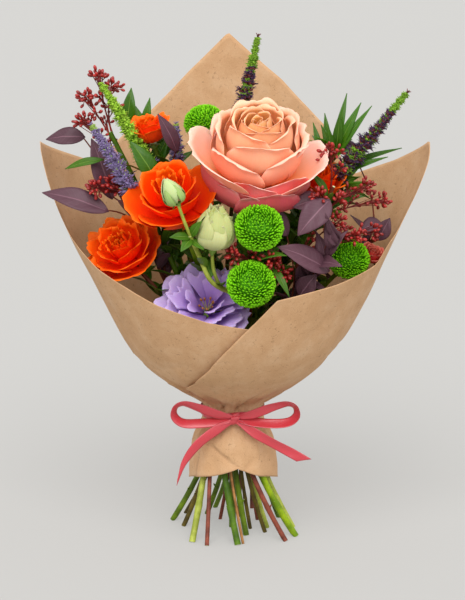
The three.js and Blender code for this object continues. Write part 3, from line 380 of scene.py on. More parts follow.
def satin_ribbon():
    """Woven polyester satin: long floats across the ribbon give a soft, stretched gloss."""
    material, tree = started("satin_ribbon")
    (_, across, *_), grown = marks_of(tree)
    thread_count = 70  # drawn coarser than woven, so that it shows
    rib = add(tree, "TexWave", {"Vector": grown, "Scale": thread_count, "Distortion": 0.4},
              bands_direction="X")
    edge = add(tree, "MapRange", {0: add(tree, "Math", {0: across}, operation="ABSOLUTE").outputs[0],
                                  1: 0.86, 2: 0.97}).outputs[0]
    body = add(tree, "ValToRGB", {0: rib.outputs[1]}, [(0.0, "#BE2A38"), (1.0, "#D23A46")]).outputs[0]
    tone = add(tree, "Mix", {MIX_FACTOR: edge, MIX_A: body, MIX_B: "#B42A38"}, data_type="RGBA")
    ended(tree, {"Base Color": tone.outputs[MIXED], "Roughness": 0.34, "Anisotropic": 0.5,
                 "Sheen Weight": 0.12, "Sheen Roughness": 0.4, "Specular IOR Level": 0.9},
          rib.outputs[1], 0.04)
    return material


def jute_twine():
    """Jute twine, spun from coarse bast fibres and wound round the stems."""
    material, tree = started("jute_twine")
    where = add(tree, "TexCoord").outputs["Object"]
    strand_mm = 1.1
    twist = add(tree, "TexWave", {"Vector": where, "Scale": 1 / (strand_mm * MM) / 6, "Distortion": 2.0},
                bands_direction="DIAGONAL").outputs[1]
    tone = add(tree, "Mix", {MIX_FACTOR: twist, MIX_A: "#8C6C3E", MIX_B: "#BB9A63"}, data_type="RGBA")
    ended(tree, {"Base Color": tone.outputs[MIXED], "Roughness": 0.9}, twist, 0.3)
    return material


def petal(name, inside, outside, throat_and_shade, rim, vein=0.16):
    """Living petal tissue: velvety, finely veined from root to rim. Its inner and outer faces take their
    colours from the petal's layer in the bloom, from the heart out.
    Towards the root the inner face darkens, partly the petal's own colour there and partly painted shade
    deep in the cup;
    the pale ragged rim is partly the petal's own paler lip and partly a painted highlight."""
    material, tree = started(name)
    (along, across, draw, layer, side), grown = marks_of(tree)
    stretched = add(tree, "VectorMath", {0: grown, 1: (1.0, 13.0, 40.0)}, operation="MULTIPLY").outputs[0]
    veins = add(tree, "TexNoise", {"Vector": stretched, "Scale": 2.4, "Detail": 5.0, "Roughness": 0.65})
    where = add(tree, "TexCoord").outputs["Object"]
    cloud_mm = 8
    clouds = add(tree, "TexNoise", {"Vector": where, "Scale": 1 / (cloud_mm * MM), "Detail": 3.0})
    inner = add(tree, "ValToRGB", {0: layer}, inside).outputs[0]
    outer = add(tree, "ValToRGB", {0: layer}, outside).outputs[0]
    turned_in = add(tree, "MapRange", {0: side, 1: -0.3, 2: 0.3}).outputs[0]
    faced = add(tree, "Mix", {MIX_FACTOR: turned_in, MIX_A: outer, MIX_B: inner},
                data_type="RGBA").outputs[MIXED]
    # Painted shade: near the root the inner face darkens, partly the petal's own colour there, partly shade
    # deep in the cup.
    inward = add(tree, "MapRange", {0: side, 1: -0.3, 2: 0.3, 3: 0.15, 4: 0.85}).outputs[0]
    rooting = add(tree, "MapRange", {0: along, 1: 0.6, 2: 0.12}).outputs[0]
    deep = add(tree, "Math", {0: inward, 1: rooting}, operation="MULTIPLY").outputs[0]
    throat_shaded = add(tree, "Mix", {MIX_FACTOR: deep, MIX_A: faced, MIX_B: throat_and_shade},
                 data_type="RGBA").outputs[MIXED]
    # Painted highlight: the pale ragged rim is partly the petal's own paler lip, partly painted light on the
    # turned-out rim.
    ragged = add(tree, "Math", {0: clouds.outputs[0], 1: 0.3, 2: along}, operation="MULTIPLY_ADD").outputs[0]
    edge = add(tree, "MapRange", {0: ragged, 1: 0.88, 2: 1.15, 3: 0.0, 4: 0.4}).outputs[0]
    pale_rim_and_highlight = add(tree, "Mix", {MIX_FACTOR: edge, MIX_A: throat_shaded, MIX_B: rim}, data_type="RGBA").outputs[MIXED]
    value = add(tree, "MapRange", {0: draw, 3: 0.92, 4: 1.07}).outputs[0]
    toned = add(tree, "HueSaturation", {"Color": pale_rim_and_highlight, "Value": value}).outputs[0]
    lined = add(tree, "MapRange", {0: veins.outputs[0], 1: 0.4, 2: 0.75, 3: 0.0, 4: vein}).outputs[0]
    tone = add(tree, "Mix", {MIX_FACTOR: lined, MIX_A: toned, MIX_B: throat_and_shade}, data_type="RGBA")
    ended(tree, {"Base Color": tone.outputs[MIXED], "Roughness": 0.5, "Specular IOR Level": 0.14,
                 "Subsurface Weight": 0.15, "Subsurface Radius": (0.004, 0.0018, 0.001),
                 "Subsurface Scale": 1.0}, veins.outputs[0], 0.2)
    return material


def blade(name, upper, under, vein, gloss=0.45):
    """A leaf: waxy skin, a pale midrib and fine side veins."""
    material, tree = started(name)
    (along, across, draw, _, side), _ = marks_of(tree)
    off = add(tree, "Math", {0: across}, operation="ABSOLUTE").outputs[0]
    midrib = add(tree, "MapRange", {0: off, 1: 0.08, 2: 0.02, 3: 0.0, 4: 0.8}).outputs[0]
    vein_pairs = 11.0
    spaced = add(tree, "Math", {0: along, 1: vein_pairs}, operation="MULTIPLY").outputs[0]
    slanted = add(tree, "Math", {0: off, 1: -1.8, 2: spaced}, operation="MULTIPLY_ADD").outputs[0]
    phase = add(tree, "Math", {0: slanted, 1: math.pi}, operation="MULTIPLY").outputs[0]
    wave = add(tree, "Math", {0: phase}, operation="SINE").outputs[0]
    from_vein = add(tree, "Math", {0: wave}, operation="ABSOLUTE").outputs[0]
    side_veins = add(tree, "MapRange", {0: from_vein, 1: 0.2, 2: 0.02, 3: 0.0, 4: 0.2}).outputs[0]
    shown = add(tree, "Math", {0: midrib, 1: side_veins}, operation="MAXIMUM").outputs[0]
    where = add(tree, "TexCoord").outputs["Object"]
    cloud_mm = 7
    clouds = add(tree, "TexNoise", {"Vector": where, "Scale": 1 / (cloud_mm * MM), "Detail": 4.0})
    turned = add(tree, "MapRange", {0: side, 1: 0.3, 2: -0.3}).outputs[0]
    faced = add(tree, "Mix", {MIX_FACTOR: turned, MIX_A: upper, MIX_B: under},
                data_type="RGBA").outputs[MIXED]
    value = add(tree, "MapRange", {0: draw, 3: 0.75, 4: 1.2}).outputs[0]
    toned = add(tree, "HueSaturation", {"Color": faced, "Value": value}).outputs[0]
    clouded = add(tree, "MapRange", {0: clouds.outputs[0], 3: 0.0, 4: 0.35}).outputs[0]
    mottled = add(tree, "Mix", {MIX_FACTOR: clouded, MIX_A: toned, MIX_B: under},
                  data_type="RGBA").outputs[MIXED]
    tone = add(tree, "Mix", {MIX_FACTOR: shown, MIX_A: mottled, MIX_B: vein}, data_type="RGBA")
    ended(tree, {"Base Color": tone.outputs[MIXED], "Roughness": gloss, "Specular IOR Level": 0.24},
          shown, 0.3)
    return material


def stalk(name, skin, shade, rough=0.5):
    """Green or woody stem: lengthwise fibres under a thin skin, darker in patches."""
    material, tree = started(name)
    where = add(tree, "TexCoord").outputs["Object"]
    fibre_mm, patch_mm = 0.7, 12
    drawn_out = add(tree, "VectorMath", {0: where, 1: (1.0, 1.0, 0.06)}, operation="MULTIPLY").outputs[0]
    fibres = add(tree, "TexNoise", {"Vector": drawn_out, "Scale": 1 / (fibre_mm * MM), "Detail": 3.0})
    patches = add(tree, "TexNoise", {"Vector": where, "Scale": 1 / (patch_mm * MM), "Detail": 4.0})
    spread = add(tree, "MapRange", {0: patches.outputs[0], 1: 0.4, 2: 0.62}).outputs[0]
    streaked = add(tree, "MapRange", {0: fibres.outputs[0], 1: 0.4, 2: 0.7, 3: 0.0, 4: 0.5}).outputs[0]
    patched = add(tree, "Mix", {MIX_FACTOR: spread, MIX_A: skin, MIX_B: shade},
                  data_type="RGBA").outputs[MIXED]
    tone = add(tree, "Mix", {MIX_FACTOR: streaked, MIX_A: patched, MIX_B: shade}, data_type="RGBA")
    ended(tree, {"Base Color": tone.outputs[MIXED], "Roughness": rough, "Specular IOR Level": 0.24},
          fibres.outputs[0], 0.15)
    return material


def cut_end():
    """The pale, wet pith and wood of a freshly cut stem, inside its darker skin."""
    material, tree = started("fresh_cut_pith")
    (along, *_), _ = marks_of(tree)
    rings = add(tree, "ValToRGB", {0: along},
                [(0.0, "#EEF0CC"), (1.0, "#A9B36A"), (0.62, "#DDE0B0")]).outputs[0]
    ended(tree, {"Base Color": rings, "Roughness": 0.4})
    return material


def berry(name, skin, glow):
    """Small closed flower buds with a smooth, faintly waxy skin, lighter towards the tip as a painted
    highlight.
    """
    material, tree = started(name)
    (along, _, draw, _, _), _ = marks_of(tree)
    # Painted highlight: the skin lightens towards the tip.
    tip_highlight = add(tree, "MapRange", {0: along, 1: 0.5, 2: 1.0, 3: 0.0, 4: 0.5}).outputs[0]
    lit = add(tree, "Mix", {MIX_FACTOR: tip_highlight, MIX_A: skin, MIX_B: glow},
              data_type="RGBA").outputs[MIXED]
    value = add(tree, "MapRange", {0: draw, 3: 0.7, 4: 1.25}).outputs[0]
    toned = add(tree, "HueSaturation", {"Color": lit, "Value": value}).outputs[0]
    ended(tree, {"Base Color": toned, "Roughness": 0.34, "Specular IOR Level": 0.5})
    return material


def floret(name, root, tip):
    """Small crowded florets: darker in their throats, paler at their tips."""
    material, tree = started(name)
    (along, _, draw, _, _), _ = marks_of(tree)
    reach = add(tree, "MapRange", {0: along, 1: 0.15, 2: 0.95}).outputs[0]
    face = add(tree, "Mix", {MIX_FACTOR: reach, MIX_A: root, MIX_B: tip}, data_type="RGBA").outputs[MIXED]
    value = add(tree, "MapRange", {0: draw, 3: 0.78, 4: 1.2}).outputs[0]
    toned = add(tree, "HueSaturation", {"Color": face, "Value": value}).outputs[0]
    ended(tree, {"Base Color": toned, "Roughness": 0.55, "Specular IOR Level": 0.15})
    return material


def studio_floor():
    """Seamless backdrop paper: matt and even, with a slight glow that lifts it towards white."""
    material, tree = started("studio_floor")
    ended(tree, {"Base Color": "#868583", "Roughness": 0.9, "Specular IOR Level": 0.1,
                 "Emission Color": "#FBFAF6", "Emission Strength": 0.32})
    return material


# ----------------------------------------------------------------- wrapper

# Angles go round from the front, 0, to the right at 90 degrees. The sheet winds from its
# inner end to the angle where its free edge starts to slant.
PAPER = {"thick": 0.4, "inner_end": 45, "last_turn": -315}
PROFILE = {  # height against radius, at the sides, the front and the back
    "side": [(50, 42), (70, 39.5), (90, 34), (104, 28.6), (111, 27), (123, 27), (130, 33), (142, 54),
             (166, 84), (205, 111), (284, 148), (340, 172), (372, 181), (470, 192)],
    "front": [(50, 42), (70, 39.5), (90, 34), (104, 28.6), (111, 27), (123, 27), (130, 31), (142, 48),
              (166, 78), (205, 102), (284, 128), (340, 138), (372, 142), (470, 150)],
    "back": [(50, 42), (70, 39.5), (90, 34), (104, 28.6), (111, 27), (123, 27), (130, 30), (142, 42),
             (166, 64), (205, 80), (284, 98), (340, 106), (372, 110), (470, 118)],
}
# The rim: angle against height.
TOP_EDGE = [(-341, 248), (-316, 257), (-293, 269), (-288, 289), (-281, 300), (-275, 342), (-265, 372),
            (-248, 346), (-231, 326), (-221, 370), (-202, 417), (-178, 462), (-160, 424), (-145, 388),
            (-123, 340), (-94, 372), (-88, 325), (-80, 290), (-64, 266), (-48, 254), (-33, 240),
            (-11, 226), (9, 219), (45, 204)]
# The slanting free edge: height against angle.
FREE_EDGE = [(50, -413), (146, -405), (160, -386), (176, -374), (203, -361), (227, -350), (248, -341)]
# The foot: its height at the back, how much higher it is in front, and the notch there.
HEM = {"low": 50, "round": 13, "rise": 7, "middle": 6, "reach": 34}
PLEAT = {"count": 12, "height": 117, "spread": 26, "depth": 0.5}
NECK = (84, 134)  # heights between which the sheet is gathered
LOW_CONE = 190  # height up to which the folds are sharp and the rows of points close
# Degrees between two columns of points, columns in the free edge's strip, and rows of points.
WRAP_MESH = {"step": 1.5, "edge": 33, "skirt": 12, "neck": 29, "folds": 39, "cone": 52}


def paper_turns(z, angle):
    """What the turns of the sheet add to its radius."""
    return (PAPER["inner_end"] - angle) / 360 * mix(1.9, 3.2, smoothstep(z, 125, 200))


def paper_radius(z, angle):
    a = np.radians(angle)
    side = np.sin(a) ** 2
    ends = np.where(np.cos(a) > 0, smooth_at(PROFILE["front"], z), smooth_at(PROFILE["back"], z))
    pleat = PLEAT["depth"] * np.exp(-(((z - PLEAT["height"]) / PLEAT["spread"]) ** 2))
    return (smooth_at(PROFILE["side"], z) * side + ends * (1 - side) + paper_turns(z, angle)
            + pleat * np.cos(PLEAT["count"] * a))


DEGREE_MM = 1.1  # millimetres to a degree of turn, low on the cone

# Sharp folds of the sheet: angle and height of both ends, depth, half width and the
# step from the side above the fold down to the side below it.
FOLDS = [
    (-80, 174, -39, 147, 3.0, 2.8, 5.6), (-62, 152, -48, 139, -3.0, 2.4, -3.2),
    (-54, 149, -42, 144, 3.2, 2.0, 2.4), (-70, 161, -30, 178, 1.6, 5, 0), (-38, 95, 6, 73, 1.8, 1.8, 2.8),
    (-30, 92, -22, 60, 1.2, 5, 0), (8, 62, 24, 76, 1.2, 2.5, 1.0), (5, 123, 22, 131, 5.0, 3.0, 1.4),
    (-26, 121, -13, 129, 5.0, 2.6, 1.2), (16, 130, 36, 154, 3.0, 3, 1.2), (-16, 129, -34, 148, 3.0, 3, 0.8),
    (-100, 196, -84, 176, 2.4, 3.4, 2.0), (100, 190, 78, 172, 2.4, 3.4, -2.0),
    (60, 178, 84, 190, 1.8, 3, 1.2),
    (48, 130, 74, 158, 2.4, 4, 0.8), (70, 150, 92, 196, 2.2, 6, 0), (38, 200, 62, 262, 1.5, 8, 0),
    (-60, 190, -74, 236, 1.6, 8, 0), (-10, 150, -16, 205, 1.2, 6, 0), (4, 128, 2, 142, -1.6, 5, 0),
    (150, 150, 166, 230, 2.0, 8, 0), (196, 140, 188, 190, 2.0, 6, 0), (236, 160, 226, 260, 1.8, 9, 0),
    (-120, 138, -146, 176, 2.0, 4, 1.0), (118, 136, 140, 170, 2.0, 4, 0.8),
]


def creases(z, angle):
    """Folds and dents of the sheet: the same in every turn, so that the turns lie close."""
    a = np.radians(angle)
    gathered = np.exp(-(((z - 119) / 16) ** 2))
    tucks = 0.55 * np.sin(23 * a + 1.4 * np.sin(3 * a)) + 0.35 * np.sin(37 * a + 2 * np.sin(5 * a))
    rays = smoothstep(z, 113, 128) * np.exp(-np.maximum(z - 134, 0) / 34)
    ridge = 1 - np.abs(np.sin(8.5 * a + 0.9 * np.sin(2 * a) + 0.6 * np.sin(5 * a)))
    fans = 4.2 * ridge**3 - 1.6 * np.abs(np.sin(5.5 * a + 1.2)) ** 9
    skirt = smoothstep(z, 110, 66) * (0.6 * np.sin(5 * a + 0.6) + 0.4 * np.sin(9 * a + 2.1))
    low_pleats = smoothstep(z, 112, 100) * smoothstep(z, 55, 92) * 1.3 * ridge**2
    cone = smoothstep(z, 150, 260)
    dents = (1.4 * np.sin(3 * a + z / 37) * np.sin(z / 61 + 1.0) + 0.8 * np.sin(5 * a - z / 29)
             + 0.35 * np.sin(11 * a + z / 13) * np.sin(z / 17 + 4 * a))
    fuller = 3.0 * np.exp(-(((z - 93) / 13) ** 2)) - smoothstep(z, 66, 52)
    total = gathered * tucks * 1.1 + rays * fans + skirt + fuller + low_pleats + cone * dents
    for start, low, end, high, depth, width, step in FOLDS:
        aside = ((angle - start + 180) % 360 - 180) * DEGREE_MM
        line = np.array([(end - start) * DEGREE_MM, high - low])
        share = np.clip((aside * line[0] + (z - low) * line[1]) / line.dot(line), 0, 1)
        off = np.hypot(aside - share * line[0], z - low - share * line[1])
        above = np.sign(aside * line[1] - (z - low) * line[0]) * np.sign(-line[0])
        faded = 0.25 + 0.75 * np.sin(np.pi * mix(0.12, 0.88, share))
        total = total - faded * np.exp(-off / width) * (depth - step * above * np.tanh(off))
    pressed = smoothstep(z, 105, 111) * smoothstep(z, 131, 124)  # flat under the ribbon
    return total - pressed * np.maximum(total - 0.4, 0)


def hem_height(angle):
    """The height of the sheet's foot, higher in front and notched in the middle."""
    off = np.abs((angle - HEM["middle"] + 180) % 360 - 180)
    notch = HEM["rise"] * np.maximum(0, 1 - off / HEM["reach"]) ** 1.4
    return HEM["low"] + HEM["round"] * np.maximum(0, np.cos(np.radians(angle))) + notch


def wrapper():
    """The sheet of paper, rolled round the stems, whose last strip slants to the free edge."""
    full = np.arange(PAPER["inner_end"], PAPER["last_turn"] - 0.1, -WRAP_MESH["step"])
    along = np.concatenate([np.zeros(len(full)), np.linspace(0, 1, WRAP_MESH["edge"] + 1)[1:]])
    full = np.concatenate([full, np.full(WRAP_MESH["edge"], float(PAPER["last_turn"]))])
    corner = FREE_EDGE[-1][0]
    top = mix(straight_at(TOP_EDGE, full), corner, along)

    def place(z):
        return mix(full, straight_at(FREE_EDGE, z), along)

    hem = hem_height(place(HEM["low"]))
    rows = [mix(hem, NECK[0], t) for t in np.linspace(0, 1, WRAP_MESH["skirt"] + 1)[:-1]]
    for low, high, count in ((*NECK, WRAP_MESH["neck"]), (NECK[1], LOW_CONE, WRAP_MESH["folds"])):
        rows += [np.full(len(full), z) for z in np.linspace(low, high, count + 1)[:-1]]
    rows += [mix(LOW_CONE, top, t) for t in np.linspace(0, 1, WRAP_MESH["cone"])]
    z = np.array(rows)
    angle = np.array([place(row) for row in rows])
    lifted = np.clip(along, 0, 1)[None] ** 3 * (2.2 * smoothstep(z, 140, 190)
                                                 + 3.6 * np.exp(-(((z - 164) / 17) ** 2)))
    radius = paper_radius(z, angle) + creases(z, angle) + lifted
    a = np.radians(angle)
    grid = np.stack([radius * np.sin(a), -radius * np.cos(a), z], -1)
    growth = Growth()
    sheet(growth, grid, PAPER["thick"])
    return growth.make("paper_wrap", [kraft_paper()], ["kraft_wrapper"], "kraft_paper")


# ------------------------------------------------------------------ ribbon

RIBBON = {"width": 10, "thick": 0.35, "height": 117, "stand": 1.1}
KNOT = np.array([2.0, -34.3, 117.0])
TAIL_SLANTS = (-3.0, 5.5)  # how far one edge of a tail's end runs ahead of its middle
LOOPS = [
    [(0, -37, 118.5), (-15, -41.5, 123), (-31, -43.5, 129.5), (-45, -42.5, 133), (-53, -39.5, 128.5),
     (-54, -37.5, 120), (-46, -37, 113.5), (-30, -38, 113.5), (-2, -37, 116)],
    [(4, -37, 118.5), (20, -41.5, 123.5), (37, -43.5, 130.5), (51, -42.5, 133.5), (59, -39.5, 129),
     (60, -37.5, 120.5), (52, -37, 114), (34, -38, 113), (6, -37, 116)],
]
TAILS = [
    [(0, -37.5, 115.5), (-14, -41.5, 108.5), (-32, -44, 95), (-45, -44, 77), (-52, -43, 57)],
    [(4, -37.5, 115.5), (20, -42, 105.5), (36, -44, 97), (52, -44.5, 88), (67, -45, 79.5)],
]
# How far a loop shows its face, along its path, rather than its edge.
OPENNESS = [(0, 0.9), (0.2, 0.95), (0.42, 0.62), (0.52, 0.5), (0.65, 0.62), (0.85, 0.72), (1, 0.72)]


def strip(growth, path, across, width, draw, cup=0.5, notch=0.0):
    """A length of ribbon along a path, its width along the matching directions, a little
    cupped across. A notch slants its free end. Returns the path's length."""
    along = unit(np.gradient(path, axis=0))
    across = unit(across - along * (across * along).sum(1, keepdims=True))
    out = np.cross(along, across)
    u = np.linspace(-1, 1, 9)
    widths = np.broadcast_to(np.asarray(width, float), len(path))[:, None, None]
    grid = path[:, None] + across[:, None] * u[None, :, None] * widths / 2
    grid += out[:, None] * (cup * (u**2 - 0.4))[None, :, None]
    slant = notch * smoothstep(np.linspace(0, 1, len(path)), 0.75, 1)
    grid += along[:, None] * slant[:, None, None] * u[None, :, None]
    sheet(growth, grid, RIBBON["thick"], draw=draw)
    return float(np.linalg.norm(np.diff(path, axis=0), axis=1).sum())


def ribbon():
    """The band round the neck, two loops, two tails and the wrap of the knot, as one piece."""
    growth = Growth()
    angle = np.linspace(3, -357, 97)
    # Outside the sheet's outer end, the band eases back onto the turn beneath.
    ease = smoothstep(angle, -105, -53)
    outermost = np.where(angle > -53, angle - 360, mix(angle, -413, ease))
    a = np.radians(angle)
    height = RIBBON["height"] + 1.2 * (1 - np.cos(a)) + 0.5 * np.sin(3 * a) + 0.4 * np.sin(7 * a + 1)
    r = paper_radius(height, outermost) + RIBBON["stand"] + 0.35
    band = np.stack([r * np.sin(a), -r * np.cos(a), height], -1)
    narrow = RIBBON["width"] * (0.84 + 0.04 * np.sin(5 * a))
    total = strip(growth, band, np.tile(UP, (len(a), 1)), narrow, 0.1, -0.3)
    for k, loop in enumerate(LOOPS):
        path = spline(loop, 12)
        way = unit(np.gradient(path, axis=0) * [1, 0, 1])
        outward = np.stack([way[:, 2], 0 * way[:, 0], -way[:, 0]], -1) * (1, -1)[k]
        seen = straight_at(OPENNESS, np.linspace(0, 1, len(path)))[:, None]
        pinch = mix(0.5, 1, smoothstep(np.abs(path[:, 0] - KNOT[0]), 1, 18))
        total += strip(growth, path, outward * seen - np.array([0, 1, 0]) * np.sqrt(1 - seen**2),
                       RIBBON["width"] * pinch, 0.3 + 0.2 * k, 0.7)
    for k, tail in enumerate(TAILS):
        path = spline(tail, 12)
        ripple = np.sin(np.linspace(0, 3 * np.pi, len(path)))
        path[:, 1] += 0.7 * ripple
        share = np.linspace(0, 1, len(path))
        pinch = mix(0.5, 0.95, smoothstep(share, 0, 0.3))
        if k == 0:  # the left tail turns edge on towards its end
            pinch = pinch * mix(1, 0.12, smoothstep(share, 0.45, 1.05))
        side = np.sign(tail[4][0])
        across = np.tile([side * 0.6, -0.15, 0.8], (len(path), 1)) + [0, 0.14, 0] * ripple[:, None]
        total += strip(growth, path, across, RIBBON["width"] * pinch, 0.6 + 0.2 * k, 0.6,
                       TAIL_SLANTS[k])
    turn = np.linspace(-0.75 * np.pi, 1.3 * np.pi, 40)
    wrinkle = 1 + 0.07 * np.sin(turn * 7)
    wrap = KNOT + np.stack([0.9 * np.sin(turn * 1.5), -4.1 * np.cos(turn) * wrinkle,
                            5.2 * np.sin(turn) * wrinkle], -1)
    total += strip(growth, wrap, np.tile([1.0, 0, 0.2], (40, 1)), 7.6 + 0.8 * np.sin(turn * 3), 0.9, 1.0)
    piece = growth.make("ribbon", [satin_ribbon()], ["ribbon_bow"], "satin_ribbon")
    return piece


TWINE = {"turns": 5, "radius": 25.2, "foot": 114, "pitch": 1.5, "strand": 0.75}


def twine():
    """The binding under the paper: turns of twine, side by side."""
    growth = Growth()
    a = np.linspace(0, 2 * np.pi * TWINE["turns"], 48 * TWINE["turns"])
    path = np.stack([TWINE["radius"] * np.sin(a), -TWINE["radius"] * np.cos(a),
                     TWINE["foot"] + a / (2 * np.pi) * TWINE["pitch"]], -1)
    tube(growth, path, TWINE["strand"] / 2 + 0.06 * np.sin(a * 31), 6)
    return growth.make("stem_binding", [jute_twine()], ["binding_twine"], "binding_twine")


# ------------------------------------------------------------------- stems

# Where the stems cross: its height, how much they draw together, their turn and their room.
WAIST = {"height": 117, "draw": 0.36, "turn": -40, "room": 24.1}
LEVEL = WAIST["height"] / 5  # the stems are led from level to level
CLEAR = 1.2  # air between two stems
BOUND = 0.6  # and where the twine binds them
GAP = 0.35  # air between a stem and the paper
SOLID_PAPER = 0.7  # thickness of the sheet in the solids
SKIN, CUT, LEAFAGE, TWIG, BUD_SKIN = range(5)  # the finishes of a stem's piece, in their order

# Cut end on the floor, top, radius, finish and the record's slot of each main stem.
STEMS = {
    "peach_rose": ((0, 0), (22.5, -42, 357), 3.3, "mid_green", "green_stem"),
    "orange_rose_a": ((60, -29), (-52, -54, 320), 3.2, "bright_green", "bright_green_stem"),
    "orange_rose_b": ((50, -44), (-96, -24, 268), 2.4, "red_brown", "brown_stem"),
    "orange_rose_c": ((-25, 41), (76, -10, 323), 2.4, "mid_green", "green_stem"),
    "orange_rose_e": ((13, -26), (-73, -4, 371), 2.8, "mid_green", "green_stem"),
    "white_lisianthus": ((58, -1), (-38, -95, 303), 2.6, "pale_green", "bright_green_stem"),
    "purple_lisianthus": ((33, -3), (-23, -46, 220), 2.5, "pale_green", "green_stem"),
    "mum_front": ((45, 30), (23.7, -79.6, 301), 2.6, "dark_green", "green_stem"),
    "mum_right": ((-17, 62), (103.4, -26.5, 261.4), 2.4, "mid_green", "green_stem"),
    "mum_back": ((10, -52.5), (-24.4, 9.9, 378.6), 1.3, "tan", "tan_stem"),
    "spike_back": ((-47, 2), (7, 24, 394), 2.3, "olive", "olive_stem"),
    "spike_right": ((-46, 43), (97, -15, 344), 2, "olive", "olive_stem"),
    "spike_left": ((31, -17), (-76, -20, 353), 2, "olive", "olive_stem"),
    "spike_middle": ((17, -6), (-52, -13, 346), 1.8, "olive", "olive_stem"),
    "bud_spray_left": ((5, -55.5), (-113, -12, 384), 3.1, "dark_green", "red_bud_spray"),
    "bud_spray_right": ((19, 59), (92, -52, 340), 1.9, "red_brown", "red_bud_spray"),
    "bud_spray_front": ((24, 22), (20, -76, 270), 1.7, "red_brown", "red_bud_spray"),
    "dark_leaves_left": ((-24, -58), (-118, -8, 350), 2, "red_brown", "burgundy_foliage"),
    "dark_leaves_front": ((6, 32), (78, -66, 268), 1.7, "red_brown", "burgundy_foliage"),
    "dark_leaves_right": ((-12, 24), (134, -8, 285), 1.7, "red_brown", "burgundy_foliage"),
    "green_leaves_left": ((-38, -47), (-84, 2, 380), 3.1, "pale_green", "green_foliage"),
    "green_leaves_right": ((-58, 21), (96, 2, 362), 2.7, "mid_green", "green_foliage"),
}

# Balls round the blooms that stems lean clear of, each with its own stem.
KEEP_OUT = [
    ("peach_rose", (24, -52, 376), 38), ("orange_rose_a", (-54.7, -62, 334), 33),
    ("orange_rose_b", (-103, -30, 281), 30), ("orange_rose_c", (79, -15, 337), 22),
    ("orange_rose_e", (-76, -8, 385), 18), ("purple_lisianthus", (-23, -60, 236), 30),
    ("white_lisianthus", (-56, -105, 348), 12), ("", (-14, -92, 312), 20),
    ("mum_front", (23.7, -90, 309), 23.5), ("", (16.6, -93, 258), 24),
    ("mum_right", (106.4, -35, 269.4), 22), ("mum_back", (-24.6, 5, 389), 22),
    ("", (131, -26, 275), 13),
]


def paper_room(x, y, z):
    """How far from the middle a stem may reach at a place inside the paper."""
    if z < HEM["low"]:
        return math.inf
    if abs(z - WAIST["height"]) < 9:
        return WAIST["room"]
    angle = math.degrees(math.atan2(x, -y))
    return float(paper_radius(z, angle) - paper_turns(z, angle)) - SOLID_PAPER / 2 - PLEAT["depth"] - GAP


def spread_out(here, spots, z):
    """Pushes stems apart in a level until none touches another, a bloom or the paper."""
    wide = 1.12  # a leaning stem is wider in a level cut
    clear = BOUND if z == WAIST["height"] else CLEAR
    own = [STEMS[name][2] * wide for name in here]
    for _ in range(120):
        before = [tuple(spot) for spot in spots]
        for i, name in enumerate(here):
            for j in range(i + 1, len(here)):
                need = own[i] + own[j] + clear
                dx, dy = spots[i][0] - spots[j][0], spots[i][1] - spots[j][1]
                far = max(math.hypot(dx, dy), 0.01)
                if far < need:
                    push = (need - far) / far / 2
                    spots[i] = (spots[i][0] + dx * push, spots[i][1] + dy * push)
                    spots[j] = (spots[j][0] - dx * push, spots[j][1] - dy * push)
            for owner, centre, ball in KEEP_OUT:
                high = abs(z - centre[2])
                if owner == name or high >= ball:
                    continue
                need = math.sqrt(ball * ball - high * high) + own[i] + CLEAR
                dx, dy = spots[i][0] - centre[0], spots[i][1] - centre[1]
                far = max(math.hypot(dx, dy), 0.01)
                if far < need:
                    spots[i] = (centre[0] + dx * need / far, centre[1] + dy * need / far)
            x, y = spots[i]
            room = paper_room(x, y, z) - own[i]
            out = math.hypot(x, y)
            if out > room:
                spots[i] = (x * room / out, y * room / out)
        if before == [tuple(spot) for spot in spots]:
            break


def route_stems():
    """Every stem's points, level by level: a spiral through the waist."""
    routes = {name: [] for name in STEMS}
    turn = math.radians(WAIST["turn"])
    for level in range(18):
        z = level * LEVEL
        here = [name for name in STEMS if STEMS[name][1][2] > z + LEVEL * 0.4]
        spots = []
        for name in here:
            foot, top = STEMS[name][:2]
            waist = ((math.cos(turn) * foot[0] - math.sin(turn) * foot[1]) * WAIST["draw"],
                     (math.sin(turn) * foot[0] + math.cos(turn) * foot[1]) * WAIST["draw"])
            below = z < WAIST["height"]
            end = foot if below else top
            reach = ((WAIST["height"] - z) / WAIST["height"] if below
                     else (z - WAIST["height"]) / (top[2] - WAIST["height"]))
            share = reach ** (1.5 if below else 1.35)
            spots.append((mix(waist[0], end[0], share), mix(waist[1], end[1], share)))
        if level > 0:
            spread_out(here, spots, z)
        for name, spot in zip(here, spots):
            routes[name].append((*spot, z))
    for name in STEMS:
        routes[name].append(STEMS[name][1])
    return {name: np.array(route, float) for name, route in routes.items()}


ROUTES = route_stems()


def stem_at(name, z):
    """The point of a stem's route at a height."""
    route = ROUTES[name]
    i = 0
    while i < len(route) - 2 and z > route[i + 1][2]:
        i += 1
    return mix(route[i], route[i + 1], (z - route[i][2]) / (route[i + 1][2] - route[i][2]))


def rise_at(name, z):
    """The direction in which a stem rises from a height."""
    return unit(stem_at(name, z + 20) - stem_at(name, z))


def twig_path(name, z, end, bend, steps):
    """A side branch: it leaves the stem along it and bends over to its end."""
    start = stem_at(name, z)
    control = start + rise_at(name, z) * np.linalg.norm(end - start) * 0.45 + bend
    return arc(start, control, end, steps)


def bends(seed, tries, spread):
    """The same tries as the solids': ever wider draws of a sideways bend."""
    draw = seeded(seed)
    for k in range(tries):
        yield np.array([draw() - 0.5, draw() - 0.5, draw() - 0.5]) * 2 * spread * k


